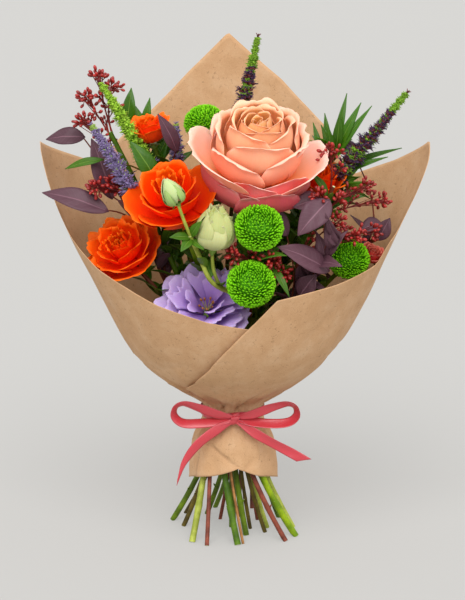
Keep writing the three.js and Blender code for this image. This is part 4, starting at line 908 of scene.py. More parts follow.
def main_stem(growth, name):
    """A stem with its joints, thicker at each, and its cut end on the floor."""
    radius = STEMS[name][2]
    path = spline(ROUTES[name], 6)
    path[0, 2] = 0
    z = path[:, 2]
    radii = mix(radius, max(radius * 0.75, 1.2), z / 400)
    draw = seeded(900 + list(STEMS).index(name))
    knots = [12 + 30 * draw(), 62 + 30 * draw(), 150 + 60 * draw(), 240 + 60 * draw()]
    for knot in knots:
        radii = radii * (1 + (0.1 + 0.12 * draw()) * np.exp(-(((z - knot) / 2.4) ** 2)))
    radii = radii * (1 + 0.03 * np.sin(z / 7 + 6 * draw()))
    tube(growth, path, radii, 12, SKIN, draw(), CUT)
    for knot in knots[:2]:
        if radius > 2.2:
            leaf_scar(growth, name, knot, radius, draw() * 2 * np.pi)


def leaf_scar(growth, name, z, radius, turn):
    """The stub of a leaf that was stripped from the stem."""
    at = stem_at(name, z)
    out = np.array([math.cos(turn), math.sin(turn), 0.8])
    path = arc(at, at + out * radius * 0.9, at + out * radius * 1.25 + UP * 1.5, 3)
    tube(growth, path, [radius * 0.5, radius * 0.42, radius * 0.34, radius * 0.2], 7, ends=CUT)


# ------------------------------------------------------------------ leaves

def leaf_grid(base, tip, width, face, draw, columns=9, rows=17, twist=0.0, curl=0.0):
    """A pointed leaf, arched along, folded at its midrib, its margin gently waved."""
    length = np.linalg.norm(tip - base)
    along = (tip - base) / length
    side = unit(np.cross(along, face))
    normal = np.cross(side, along)
    t = np.linspace(0, 1, rows)[:, None]
    u = np.linspace(-1, 1, columns)[None, :]
    half = np.maximum(width / 2 * np.abs(np.sin(np.pi * t**0.8)) ** 0.9, 0.35)
    turn = twist * (t - 0.3)
    across = side * np.cos(turn)[..., None] + normal * np.sin(turn)[..., None]
    fold = 0.12 * half * np.abs(u) - 0.5 * np.exp(-((u / 0.12) ** 2)) * smoothstep(t, 1, 0.6)
    wave = (0.035 * width * u**2 * np.sin(7 * t + 9 * draw)
            + 0.02 * width * np.sin(15 * t + 5 * u + 20 * draw))
    lift = 0.1 * length * np.sin(np.pi * t) - curl * length * t**2.5 + fold + wave * np.sin(np.pi * t)
    return (base + along * (t * length)[..., None] + across * (u * half)[..., None]
            + normal * lift[..., None])


LEAF_FACE = np.array([0.1, -0.8, 0.6])
BEND = 3.2  # how much wider each next try of a leaf's or a bud twig's bend is
LEAF_TRIES, BUD_TRIES = 14, 24
TOUCH = 0.4  # how near a leaf's tip has to be to the surface of its solid

# Stem, height where the stalk leaves it, base and tip of the blade, width.
LEAVES = [
    ("dark_leaves_left", 340, (-136, -4, 378), (-173, 2, 375), 19),
    ("dark_leaves_left", 290, (-113, -42, 315), (-175, -27, 330), 22),
    ("dark_leaves_left", 305, (-111, -18, 322), (-130, -12, 378), 23),
    ("dark_leaves_left", 240, (-57, -33, 358), (-72, -35, 398), 15),
    ("dark_leaves_front", 262, (87, -86, 334), (58, -101, 304), 25),
    ("dark_leaves_front", 250, (88, -75, 266), (40, -90, 292), 23),
    ("dark_leaves_front", 225, (61, -70, 242), (76, -77, 264), 20),
    ("dark_leaves_front", 264, (81, -68, 331), (54, -75, 325), 20),
    ("dark_leaves_front", 215, (50, -62, 296), (30, -64, 326), 17),
    ("dark_leaves_right", 270, (135, -16, 283), (146, -14, 304), 15),
    ("dark_leaves_right", 275, (138, -18, 300), (117, -22, 294), 16),
    ("dark_leaves_right", 270, (118, 12, 350), (103, 14, 375), 16),
    ("green_leaves_right", 355, None, (106, 10, 417), 8),
    ("green_leaves_right", 358, None, (119, 5, 409), 9),
    ("green_leaves_right", 350, None, (86, 20, 397), 8),
    ("green_leaves_right", 342, None, (75, 15, 389), 8),
    ("green_leaves_right", 348, None, (129, 5, 406), 8),
    ("green_leaves_right", 338, None, (150, -5, 378), 7),
    ("green_leaves_right", 330, None, (146, -10, 360), 9),
    ("green_leaves_right", 361, None, (99, -2, 400), 10),
    ("green_leaves_left", 330, (-99, 12, 382), (-94, 18, 421), 13),
    ("green_leaves_left", 330, (-84, 20, 376), (-77, 24, 411), 9),
    ("green_leaves_left", 310, (-64, -36, 352), (-91, -34, 386), 18),
    ("spike_left", 330, (-118, -27, 361), (-154, -21, 351), 8),
    ("white_lisianthus", 302, None, (-27, -104, 318), 9),
    ("white_lisianthus", 301, None, (-54, -101, 306), 9),
    ("white_lisianthus", 300, None, (-46, -109, 291), 9),
    ("white_lisianthus", 299, None, (-25, -101, 291), 9),
    ("mum_front", 228, (36, -80, 272), (51, -96, 247), 7),
]

# Leaves along the stems: stem, lowest and highest, count, length and width.
LEAFY = [
    ("green_leaves_left", 190, 300, 3, 46, 18), ("green_leaves_right", 190, 280, 3, 46, 16),
    ("mum_front", 200, 250, 2, 36, 15), ("mum_right", 190, 235, 1, 34, 15),
    ("mum_back", 260, 300, 1, 38, 15), ("orange_rose_b", 190, 240, 2, 40, 19),
    ("orange_rose_c", 220, 270, 2, 40, 19), ("white_lisianthus", 225, 260, 1, 36, 13),
]

# Finer leaves that fill the bunch: stem, lowest and highest, count, length and width.
FILLERS = [
    ("peach_rose", 215, 335, 16, 34, 15), ("orange_rose_a", 200, 300, 14, 34, 16),
    ("orange_rose_c", 200, 315, 16, 34, 15), ("orange_rose_e", 230, 350, 16, 34, 15),
    ("mum_front", 200, 290, 12, 30, 12), ("mum_right", 195, 255, 10, 32, 13),
    ("mum_back", 230, 365, 18, 34, 14), ("spike_back", 250, 385, 14, 26, 9),
    ("spike_right", 235, 340, 14, 30, 9), ("spike_left", 230, 345, 14, 30, 9),
    ("spike_middle", 230, 340, 14, 28, 9), ("green_leaves_left", 220, 375, 20, 38, 13),
    ("green_leaves_right", 220, 358, 26, 40, 9), ("dark_leaves_left", 230, 345, 12, 36, 16),
    ("dark_leaves_right", 210, 283, 10, 30, 14), ("dark_leaves_front", 200, 262, 10, 32, 15),
    ("white_lisianthus", 200, 295, 10, 28, 11), ("purple_lisianthus", 180, 215, 5, 26, 11),
    ("bud_spray_front", 180, 266, 14, 36, 14), ("bud_spray_right", 195, 330, 20, 38, 13),
    ("orange_rose_b", 180, 262, 12, 34, 14), ("bud_spray_left", 200, 330, 14, 34, 14),
]


def in_the_open(points, owner):
    """Whether points lie inside the paper and clear of every bloom but the stem's own."""
    for point in points:
        if math.hypot(point[0], point[1]) > paper_room(*point) - 3 and point[2] < 330:
            return False
        for name, centre, ball in KEEP_OUT:
            if np.linalg.norm(point - np.array(centre)) < ball * (0.8 if name == owner else 1.04):
                return False
    return True


def filler_leaves(growths):
    """Small leaves all along the stems, which make the bunch dense and dark inside."""
    for row, (name, low, high, count, length, width) in enumerate(FILLERS):
        rng = np.random.default_rng(60 + row)
        for i in range(count):
            root = stem_at(name, mix(low, high, (i + 0.5) / count))
            for _ in range(12):
                turn = i * GOLDEN + rng.normal(0, 0.5)
                aim = unit([math.cos(turn), math.sin(turn) - 0.25, rng.uniform(0.4, 1.3)])
                reach = length * rng.uniform(0.7, 1.1)
                tip = root + aim * reach
                if in_the_open([mix(root, tip, 0.5), mix(root, tip, 0.8), tip], name):
                    tone = rng.random()
                    grid = leaf_grid(root, tip, width * rng.uniform(0.8, 1.1), [aim[0], aim[1], 1.2], tone,
                                     5, 9, rng.normal(0, 0.5))
                    sheet(growths[name], grid, 0.3, LEAFAGE, tone)
                    break


# Fans of narrow leaves: stem, lowest and highest root, middle way, count, length, width.
FANS = [
    ("green_leaves_right", 318, 362, (0.2, -0.05, 1.0), 16, 44, 11),
    ("green_leaves_right", 300, 345, (0.9, -0.1, 0.7), 10, 42, 9),
    ("dark_leaves_front", 235, 300, (0.2, -0.4, 0.7), 14, 34, 13),
    ("mum_front", 225, 285, (0.5, -0.3, 0.7), 12, 34, 12),
    ("bud_spray_front", 250, 300, (0.3, -0.3, 0.8), 10, 32, 12),
    ("green_leaves_left", 345, 380, (0.15, 0.1, 1.0), 7, 40, 11),
    ("green_leaves_left", 300, 350, (0.4, -0.2, 0.8), 8, 40, 15),
    ("orange_rose_c", 296, 322, (0.1, -0.3, 0.8), 8, 32, 9),
    ("mum_back", 330, 372, (0.5, -0.1, 0.6), 8, 34, 12),
    ("spike_right", 300, 343, (0.6, -0.2, 0.5), 8, 34, 9),
]


def leaf_fans(growths):
    """Narrow leaves that stand out of the bunch in loose fans."""
    for row, (name, low, high, way, count, length, width) in enumerate(FANS):
        rng = np.random.default_rng(160 + row)
        for i in range(count):
            root = stem_at(name, mix(low, high, (i + 0.5) / count))
            for _ in range(10):
                aim = unit(unit(way) + rng.normal(0, 0.36, 3))
                tip = root + aim * length * rng.uniform(0.65, 1.1)
                if not in_the_open([mix(root, tip, 0.45), mix(root, tip, 0.75), tip], name):
                    continue
                tone = rng.random()
                grid = leaf_grid(root, tip, width * rng.uniform(0.75, 1.15),
                                 unit(LEAF_FACE + rng.normal(0, 0.5, 3)), tone, 5, 11,
                                 rng.normal(0, 1.6), rng.normal(0.24, 0.2))
                sheet(growths[name], grid, 0.3, LEAFAGE, tone)
                break


def placed_leaves(growths):
    """The leaves that are placed one by one, each with its stalk."""
    for i, (name, z, base, tip, width) in enumerate(LEAVES):
        for bend in bends(100 + i, LEAF_TRIES, BEND):
            root = stem_at(name, z) if base is None else np.array(base) + bend * 0.5
            end = np.array(tip) + bend * (0.6 if base is None else 0.3)
            if not lies_on(f"{name}_stem", [mix(root, end, 0.8)], 6):
                continue
            if not lies_on(f"{name}_stem", [end], TOUCH):
                continue
            growth = growths[name]
            draw = (i * 0.37) % 1
            grid = leaf_grid(root, end, width, LEAF_FACE, draw, twist=0.5 * (draw - 0.5))
            sheet(growth, grid, 0.35, LEAFAGE, draw)
            if base is not None:
                path = twig_path(name, z, mix(root, end, 0.06), bend, 8)
                tube(growth, path, np.linspace(1.05, 0.6, 9), 7, SKIN, draw)
            break


def side_leaves(growths):
    """The leaves along the stems inside the bunch."""
    for row, (name, low, high, count, length, width) in enumerate(LEAFY):
        draw = seeded(300 + row)
        for i in range(count):
            start = stem_at(name, mix(low, high, (i + 0.5) / count))
            turn = i * GOLDEN + draw()
            aim = unit([math.cos(turn), math.sin(turn), 0.75])
            for bend in bends(400 + 20 * row + i, LEAF_TRIES, BEND):
                tip = start + aim * length + bend * 1.5
                if lies_on(f"{name}_stem", [tip], TOUCH):
                    tone = (i * 0.31 + row * 0.17) % 1
                    sheet(growths[name], leaf_grid(start, tip, width, UP, tone), 0.35, LEAFAGE, tone)
                    break


# -------------------------------------------------------------------- buds

# Clusters of red buds: stem, height where the stalk leaves it, middle.
BUDS = [
    ("bud_spray_left", 360, (-123, -5, 435)), ("bud_spray_left", 350, (-135, -10, 416)),
    ("bud_spray_left", 372, (-112, 4, 424)), ("bud_spray_left", 330, (-138, -20, 396)),
    ("bud_spray_left", 290, (-110, -36, 340)), ("bud_spray_left", 300, (-126, -42, 337)),
    ("bud_spray_left", 262, (-114, -50, 311)), ("bud_spray_right", 325, (88, -42, 371)),
    ("bud_spray_right", 300, (52, -88, 342)), ("bud_spray_right", 310, (70, -80, 343)),
    ("bud_spray_right", 300, (123, -36, 337)), ("bud_spray_right", 290, (140, -24, 323)),
    ("bud_spray_right", 260, (96, -62, 309)), ("bud_spray_right", 250, (112, -58, 294)),
    ("bud_spray_right", 255, (130, -38, 296)), ("bud_spray_front", 250, (-6, -96, 282)),
    ("bud_spray_front", 262, (37, -85, 278)), ("bud_spray_front", 240, (48, -76, 264)),
]
BUD = ovoid([(0, 0), (0.1, 0.26), (0.35, 0.46), (0.65, 0.5), (0.88, 0.34), (0.97, 0.14), (1, 0)], 6)


def bud_sprays(growths):
    """Red buds, each on its own thin stalk, round the end of a branching spray."""
    for i, (name, z, middle) in enumerate(BUDS):
        for bend in bends(700 + i, BUD_TRIES, BEND):
            end = np.array(middle) + bend * 0.5
            if not lies_on(f"{name}_stem", [end], 3.2):
                continue
            path = twig_path(name, z, end, bend, 12)
            if not lies_on(f"{name}_stem", [path[6], path[9]], 1.8):
                continue
            growth = growths[name]
            tube(growth, path, np.linspace(0.95, 0.6, 13), 6, TWIG, 0.4)
            rng = np.random.default_rng(i)
            cluster(growth, path, len(path) - 1, 17, rng)
            side = unit(np.cross(path[-1] - path[0], UP))
            for at, turn in ((10, 1), (8, -1), (6, 1)):
                out = side * turn * 8 + unit(path[at] - path[at - 2]) * 8 + [0, -2, 3]
                branch = arc(path[at], path[at] + out * 0.5 + [0, 0, 1], path[at] + out, 5)
                if in_the_open([branch[-1]], name):
                    tube(growth, branch, 0.5, 5, TWIG, 0.4)
                    cluster(growth, branch, 5, 6, rng)
            break


def cluster(growth, path, last, count, rng):
    """Buds in a loose dome at the end of a stalk, and a few below it."""
    end, aim = path[last], unit(path[last] - path[last - 2])
    x, y, z = facing(aim)
    k = np.arange(count)
    polar = np.arccos(1 - 1.3 * (k + 0.5) / count)
    turn = k * GOLDEN + rng.random() * 6
    ways = ((np.sin(polar) * np.cos(turn))[:, None] * x + (np.sin(polar) * np.sin(turn))[:, None] * y
            + np.cos(polar)[:, None] * z)
    ways = unit(ways + rng.normal(0, 0.2, (count, 3)))
    reach = rng.uniform(2.6, 7.0, count) * (1 if count > 10 else 0.75)
    roots = path[rng.integers(max(last - 4, 1), last + 1, count)]
    bases = end + ways * reach[:, None] - aim * 1.2
    for root, base in zip(roots, bases):
        tube(growth, arc(root, mix(root, base, 0.5) + aim * 0.8, base, 2), 0.34, 4, TWIG, 0.6)
    sizes = rng.uniform(4.4, 5.8, count)
    strewn(growth, BUD, bases - ways * 0.3, ways + aim * 0.3, sizes, sizes * 0.6, BUD_SKIN,
           rng.random(count))


# ------------------------------------------------------------------- roses

# A layer of petals: angles round the bloom, r and h the curves of the middle line from
# root to lip, half the half width in degrees, drop how far the sides hang, wrap how far
# one side stands out, wave its ruffles and frill its finer ones, lip how long the
# turned-out rim is and curl how far it turns, in radians, round how far the corners
# fall back, point how far the tip stands out, fan how much wider the petal gets to its rim.
CUP = {"drop": 3, "wrap": 1.5, "wave": 0.6, "frill": 0.0, "lip": 5.0, "curl": 1.4, "round": 0.1,
       "point": 0.0, "fan": 0.0}
TIGHT = {**CUP, "wrap": 3.0, "lip": 4.0, "wave": 0.3}
ROSE_LAYERS = {
    "high": [
        {**TIGHT, "angles": (20, 200), "r": (2, 6, 6, 2), "h": (0, 14, 32, 42), "half": 95, "curl": 0.3},
        {**TIGHT, "angles": (80, 200, 320), "r": (3, 10, 10, 6), "h": (0, 13, 32, 44), "half": 84,
         "curl": 1.0, "wave": 0.5},
        {**TIGHT, "angles": (30, 150, 270), "r": (4, 16, 16, 11), "h": (0, 12, 32, 46), "half": 76,
         "curl": 1.5, "wave": 0.6},
        {**TIGHT, "angles": (95, 215, 335), "r": (4, 22, 22, 17), "h": (0, 10, 31, 45), "half": 70,
         "curl": 2.0, "lip": 6, "drop": 4, "wave": 1.0},
        {**TIGHT, "angles": (40, 160, 280), "r": (4, 28, 28, 22), "h": (-2, 6, 30, 44), "half": 66,
         "curl": 2.2, "lip": 8, "drop": 5, "wave": 1.3},
        {**CUP, "angles": (100, 228, 345), "r": (4, 33, 34, 28), "h": (-3, 2, 27, 41), "half": 64,
         "curl": 2.5, "lip": 11, "drop": 6, "wave": 1.6, "frill": 0.3},
        {**CUP, "angles": (35, 160, 275), "r": (4, 38, 40, 34), "h": (-4, -6, 20, 34), "half": 60,
         "curl": 2.5, "lip": 13, "drop": 6, "point": 0.06, "wave": 2.0, "frill": 0.4},
        {**CUP, "angles": (60, 125, 232, 318, 2), "r": (4, 40, 44, 41), "h": (-5, -16, 8, 23), "half": 50,
         "curl": 2.4, "lip": 14, "drop": 8, "point": 0.12, "wave": 2.4, "frill": 0.5},
        {**CUP, "angles": (196,), "r": (4, 40, 50, 58), "h": (-5, -22, 0, 20), "half": 62, "curl": 0.8,
         "lip": 12, "drop": 8, "point": 0.24, "wave": 2.0, "frill": 0.6},
        {**CUP, "angles": (-14,), "r": (4, 40, 50, 56), "h": (-5, -22, -8, 6), "half": 56, "curl": 0.9,
         "lip": 13, "drop": 4, "point": 0.2, "wave": 2.6, "frill": 0.6},
        {**CUP, "angles": (60, 130), "r": (4, 40, 46, 44), "h": (-5, -22, 2, 18), "half": 36,
         "curl": 1.8, "lip": 9, "point": 0.1, "wave": 2.4, "frill": 0.5},
        {**CUP, "angles": (222, 262, 300), "r": (3, 36, 57, 52), "h": (-9, -38, -20, 4), "half": 38,
         "curl": 1.7, "lip": 12, "drop": 6, "point": 0.18, "wave": 3.4, "frill": 0.9},
        {**CUP, "angles": (240, 284, 95), "r": (3, 36, 56, 52), "h": (-9, -40, -27, -5), "half": 36,
         "curl": 1.5, "lip": 11, "drop": 5, "point": 0.2, "wave": 3.6, "frill": 0.8},
    ],
    "open": [
        {**CUP, "angles": (0, 130, 250), "r": (3, 6, 7, 4), "h": (0, 12, 26, 33), "half": 62, "curl": 0.8,
         "lip": 5, "wave": 1.8, "frill": 0.5},
        {**CUP, "angles": (60, 150, 240, 330), "r": (3, 10, 13, 10), "h": (0, 13, 28, 36), "half": 50,
         "curl": 1.1, "lip": 7, "wave": 2.6, "frill": 0.8},
        {**CUP, "angles": (10, 95, 190, 285), "r": (4, 16, 19, 17), "h": (0, 12, 27, 36), "half": 50,
         "curl": 1.3, "lip": 9, "wave": 3.2, "frill": 0.9, "drop": 4},
        {**CUP, "angles": (50, 140, 215, 320), "r": (4, 24, 27, 27), "h": (0, 8, 24, 33), "half": 54,
         "curl": 1.4, "lip": 10, "wave": 3.6, "frill": 1.0, "drop": 6, "point": 0.06},
        {**CUP, "angles": (0, 95, 175, 245, 300), "r": (4, 33, 36, 38), "h": (-1, 2, 16, 25), "half": 46,
         "curl": 1.3, "lip": 11, "wave": 3.8, "frill": 1.1, "drop": 6, "point": 0.08},
        {**CUP, "angles": (40, 130, 210, 272, 338), "r": (4, 41, 43, 47), "h": (-3, -5, 6, 13), "half": 42,
         "curl": 1.0, "lip": 11, "wave": 4.0, "frill": 1.0, "drop": 4, "point": 0.1},
    ],
    "cupped": [
        {**CUP, "angles": (0, 130, 250), "r": (3, 6, 8, 5), "h": (0, 14, 28, 36), "half": 62, "curl": 0.8,
         "lip": 5, "wave": 1.6},
        {**CUP, "angles": (60, 150, 230, 320), "r": (3, 10, 13, 12), "h": (0, 12, 28, 38), "half": 48,
         "curl": 1.2, "lip": 7, "wave": 2.0, "frill": 0.6},
        {**CUP, "angles": (20, 100, 190, 275), "r": (4, 16, 19, 18), "h": (0, 10, 28, 40), "half": 48,
         "curl": 1.3, "lip": 9, "wave": 2.2, "frill": 0.6, "drop": 5},
        {**CUP, "angles": (70, 160, 340), "r": (4, 24, 28, 30), "h": (-1, 6, 26, 38), "half": 54,
         "curl": 1.3, "lip": 10, "drop": 8, "point": 0.1, "wave": 1.6, "frill": 0.5},
        {**CUP, "angles": (95, 215, 300), "r": (4, 31, 34, 35), "h": (-2, 0, 18, 27), "half": 58,
         "curl": 1.2, "lip": 11, "drop": 5, "point": 0.16, "wave": 1.8, "frill": 0.5},
        {**CUP, "angles": (188, 250, 18), "r": (4, 38, 43, 50), "h": (-3, -8, 6, 17), "half": 48,
         "curl": 0.7, "lip": 11, "drop": 0, "point": 0.22, "wave": 2.0, "frill": 0.6},
        {**CUP, "angles": (120, 292, 50, 325), "r": (4, 40, 42, 45), "h": (-4, -8, 0, 8), "half": 44,
         "curl": 0.7, "lip": 11, "point": 0.16, "wave": 2.2, "frill": 0.6},
    ],
    "spray": [
        {**CUP, "angles": (0, 120, 240), "r": (3, 8, 9, 5), "h": (0, 14, 32, 42), "half": 66, "wave": 1.4},
        {**CUP, "angles": (60, 150, 240, 330), "r": (4, 15, 17, 14), "h": (1, 10, 32, 42), "half": 52,
         "wave": 1.8, "lip": 8},
        {**CUP, "angles": (15, 105, 195, 285), "r": (4, 22, 24, 23), "h": (1, 6, 29, 40), "half": 50,
         "wave": 2.2, "lip": 10, "curl": 1.7},
        {**CUP, "angles": (30, 120, 210, 300), "r": (4, 28, 32, 35), "h": (1, 4, 24, 34), "half": 50,
         "wave": 2.6, "lip": 12, "curl": 1.5, "point": 0.05, "drop": 5},
    ],
}
ROSES = {
    "peach_rose": ((0.03, -0.45, 0.89), 1.0, "high"),
    "orange_rose_a": ((-0.15, -0.6, 0.79), 0.76, "cupped"),
    "orange_rose_b": ((-0.3, -0.66, 0.69), 0.7, "open"),
    "orange_rose_c": ((0.2, -0.4, 0.89), 0.6, "spray"),
    "orange_rose_e": ((-0.2, -0.3, 0.93), 0.5, "spray"),
}
CORAL = {"base": (126.6, -20.4, 265.4), "aim": (0.3, -0.5, 0.8), "size": 0.3, "form": "spray"}
LIP_AT = 0.78  # where along a petal its rim starts to turn
PETAL_THICK = 0.5  # of a bloom of size 1
SEPALS = 5


def petal_grid(base, aim, layer, angle, scale, draw, fine):
    """One petal's points in the bunch, as a grid from root to rim, its inner face to the front."""
    x, y, z = facing(aim)
    vary = np.sin(draw * np.array([97.0, 53.0, 71.0, 37.0]))
    u = np.linspace(1, -1, fine)[None, :]
    v = np.linspace(0, 1, fine)[:, None] ** 0.8
    v = v * (1 - layer["round"] * np.abs(u) ** 3 + layer["point"] * np.exp(-((u / 0.3) ** 2))
             + 0.012 * np.sin(13 * u + 60 * draw))
    widest = 0.05 + (0.83 - 0.4 * layer["fan"]) * np.clip(v, 0, 1)
    half = math.radians(layer["half"]) * np.sin(np.pi * widest) ** 0.6
    theta = math.radians(angle + 4 * vary[0]) + u * half
    rise = np.clip(v / LIP_AT, 0, 1)
    r, h = bezier(layer["r"], rise), bezier(layer["h"], rise)
    ahead = unit([layer["r"][3] - layer["r"][2], layer["h"][3] - layer["h"][2]])
    turn = layer["curl"] * (0.45 + 0.55 * np.abs(u)) * np.clip((v - LIP_AT) / (1 - LIP_AT), 0, 1.4)
    bend = layer["lip"] / max(layer["curl"], 0.05)
    forward, outward = bend * np.sin(turn), bend * (1 - np.cos(turn))
    rim = smoothstep(v, 0.55, 1.05)
    ruffle = rim * (layer["wave"] * (np.sin(4.2 * u + 17 * draw) + 0.5 * np.sin(9.5 * u + 41 * draw))
                    + layer["frill"] * np.sin(21 * u + 31 * draw + 3 * np.sin(5 * u)))
    r = r * (1 + 0.04 * vary[1]) + ahead[0] * forward + ahead[1] * outward + layer["wrap"] * u * v
    h = h * (1 + 0.03 * vary[2]) + ahead[1] * forward - ahead[0] * outward
    h = h - layer["drop"] * u * u * rise**2 + 0.7 * ruffle + 1.6 * vary[3] * u * v
    r = np.maximum(r + 0.7 * ruffle, 0.6)
    out = (r * np.cos(theta))[..., None] * x + (r * np.sin(theta))[..., None] * y + h[..., None] * z
    return np.array(base) + out * scale


def inside_paper(points):
    """Presses what reaches past the paper back against its inner face."""
    x, y, z = np.moveaxis(points, -1, 0)
    angle = np.degrees(np.arctan2(x, -y))
    room = paper_radius(z, angle) - paper_turns(z, angle) + creases(z, angle) - 1.5
    share = np.minimum(1, room / np.maximum(np.hypot(x, y), 1))[..., None]
    return points * np.concatenate([share, share, np.ones_like(share)], -1)


def petals(growth, base, aim, layers, scale, seed, fine):
    """All petals of a bloom, layer by layer from the heart out, each thinner at its rim."""
    draw = seeded(seed)
    for k, layer in enumerate(layers):
        for angle in layer["angles"]:
            tone = draw()
            grid = inside_paper(petal_grid(base, aim, layer, angle, scale, tone, fine))
            taper = PETAL_THICK * scale**0.5 * np.linspace(1.3, 0.55, fine)[:, None]
            sheet(growth, grid, taper, 0, tone, k / max(len(layers) - 1, 1))


CALYX = ovoid([(0, 0), (0.02, 0.3), (0.25, 0.55), (0.7, 1.0), (0.96, 0.9), (1, 0)], 10)


def calyx(growth, top, aim, size):
    """The green cup under a bloom and its narrow sepals."""
    x, y, z = facing(aim)
    base = np.array(top) - z * 9 * size
    strewn(growth, CALYX, base, z, 10.5 * size, 5.6 * size, LEAFAGE, 0.5)
    for k in range(SEPALS):
        turn = 2 * np.pi * k / SEPALS + 0.4
        out = x * math.cos(turn) + y * math.sin(turn)
        root = np.array(top) + out * 3.5 * size
        tip = root + out * 14 * size + z * (3 - 4 * (k % 2)) * size
        sheet(growth, leaf_grid(root, tip, 5.5 * size, z, k * 0.2, 5, 9), 0.35, LEAFAGE, k * 0.2)


# -------------------------------------------------------------------- mums

# Middle, the way it faces and radius of each head.
MUMS = {
    "mum_head_upper": ((23.7, -90, 309), (0, -0.8, 0.6), 22.5),
    "mum_head_lower": ((16.6, -93, 258), (0.05, -0.8, 0.6), 22.5),
    "mum_head_right": ((106.4, -35, 269.4), (0.25, -0.7, 0.66), 20.5),
    "mum_head_back": ((-25.6, 6.4, 389), (-0.1, -0.3, 0.95), 20),
}


def quill():
    """A mum's floret: a narrow incurved petal, its X towards the middle of the head."""
    template = Growth()
    t = np.linspace(0, 1, 5)[:, None]
    u = np.linspace(-1, 1, 3)[None, :]
    half = 0.5 * np.sin(np.pi * (0.14 + 0.74 * t)) ** 0.7
    inward = 0.75 * t**2.4 + 0.3 * (u * half * 2) ** 2
    grid = np.stack([inward + 0 * u, u * half, t + 0 * u], -1)
    sheet(template, grid, 0.2)
    return template


QUILL = quill()
HEAD_CORE = ovoid([(-1, 0), (-0.9, 0.45), (-0.5, 0.86), (0, 1), (0.5, 0.86), (0.9, 0.45), (1, 0)], 14)


def mum(name, material, core):
    """A button mum: a core covered all over with small incurved florets."""
    centre, aim, radius = MUMS[name]
    centre = np.array(centre)
    x, y, z = facing(aim)
    rng = np.random.default_rng(len(name))
    growth = Growth()
    count, covered = 540, 1.5  # florets, and how much of the ball's height of 2 they cover
    k = np.arange(count)
    height = 1 - covered * (k + 0.5) / count
    turn = k * GOLDEN
    flat = np.sqrt(1 - height**2)
    ways = ((flat * np.cos(turn))[:, None] * x + (flat * np.sin(turn))[:, None] * y
            + height[:, None] * z)
    ways = unit(ways + rng.normal(0, 0.03, (count, 3)))
    deep = np.where(height < 0, 0.62, 0.86)[:, None]
    squeeze = ways - z * ((ways * z).sum(1, keepdims=True)) * (1 - deep)
    share = np.clip((1 - height) / covered, 0, 1)
    length = mix(4.2, 7.2, share) * radius / 22
    tip = radius * rng.uniform(0.96, 1.0, count) * mix(0.95, 1.0, smoothstep(share, 0, 0.12))
    root = centre + squeeze * (tip - length)[:, None]
    lean = unit(ways + z * 0.12)
    strewn(growth, QUILL, root, lean, length, mix(1.9, 2.9, share) * radius / 22, 0, rng.random(count),
           1 - share, towards=z)
    strewn(growth, HEAD_CORE, centre - z * radius * 0.02, z, radius * 0.62, radius * 0.79, 1, 0.5)
    return growth.make(name.replace("_head_", "_florets_"), [material, core], [name], "mum_green")


# ------------------------------------------------------------------ spikes

# Base, tip, width, share where purple gives way to green, and the kind.
SPIKES = {
    "spike_head_back": ((6.8, 24, 393), (23.7, 30, 468), 22, 0.6, "dark"),
    "spike_head_right": ((96.4, -15.1, 343.2), (161, -5, 420), 25, 0.8, "dark"),
    "spike_head_green": ((-75.5, -20, 352.1), (-122, -15, 431.5), 23, 0.0, "green"),
    "spike_head_mauve": ((-91.7, -50.2, 335.5), (-128.7, -35, 393.8), 24, 0.95, "mauve"),
    "spike_head_middle": ((-52, -13.2, 345), (-52.2, -2, 390), 22, 0.95, "mauve"),
}
SPIKE_SLOTS = {
    "spike_head_back": "spike_dark_purple", "spike_head_right": "spike_dark_purple",
    "spike_head_green": "spike_green", "spike_head_mauve": "spike_mauve",
    "spike_head_middle": "spike_mauve",
}
CALYX_CUP = ovoid([(0, 0), (0.1, 0.3), (0.5, 0.5), (0.8, 0.42), (1, 0)], 5)


def lip():
    """A floret's lip or a small bract: a pointed blade that bends back."""
    template = Growth()
    t = np.linspace(0, 1, 4)[:, None]
    u = np.linspace(-1, 1, 3)[None, :]
    half = np.maximum(0.5 * np.sin(np.pi * t**0.7) ** 0.8, 0.04)
    grid = np.stack([-0.55 * t**2 + 0.25 * np.abs(u) * half, u * half, t + 0 * u], -1)
    sheet(template, grid, 0.09)
    return template


LIP = lip()


def whorl(growth, at, axis, out, full, share, green, rng):
    """One ring of florets: cups with pointed lips, or green bracts where it hasn't opened."""
    count = len(out)
    rise = mix(0.5, 1.4, share**1.5)
    way = unit(out + axis * rise + rng.normal(0, 0.25, (count, 3)))
    reach = np.clip(full * rng.uniform(0.6, 1.15, count), 2.4, 13)
    strewn(growth, CALYX_CUP, at, way, reach * 0.72, 3.2, 1 if green else 3, rng.random(count), share)
    for j in range(4):
        tilt = unit(way + np.cross(axis, out) * (j - 1.6) * 0.42 + axis * 0.3 * (j % 2)
                    + rng.normal(0, 0.25, (count, 3)))
        strewn(growth, LIP, at + way * reach[:, None] * (0.22 if green else 0.42), tilt,
               reach * (0.66 if green else 0.5), rng.uniform(1.9, 3.1, count), 1 if green else 0,
               rng.random(count), share, towards=axis)
    if not green:
        few = rng.random(count) < 0.45
        if few.any():
            strewn(growth, LIP, at[few], unit(way + axis * 0.6)[few], reach[few] * 0.85, 2.4, 1,
                   rng.random(few.sum()), share, towards=axis)


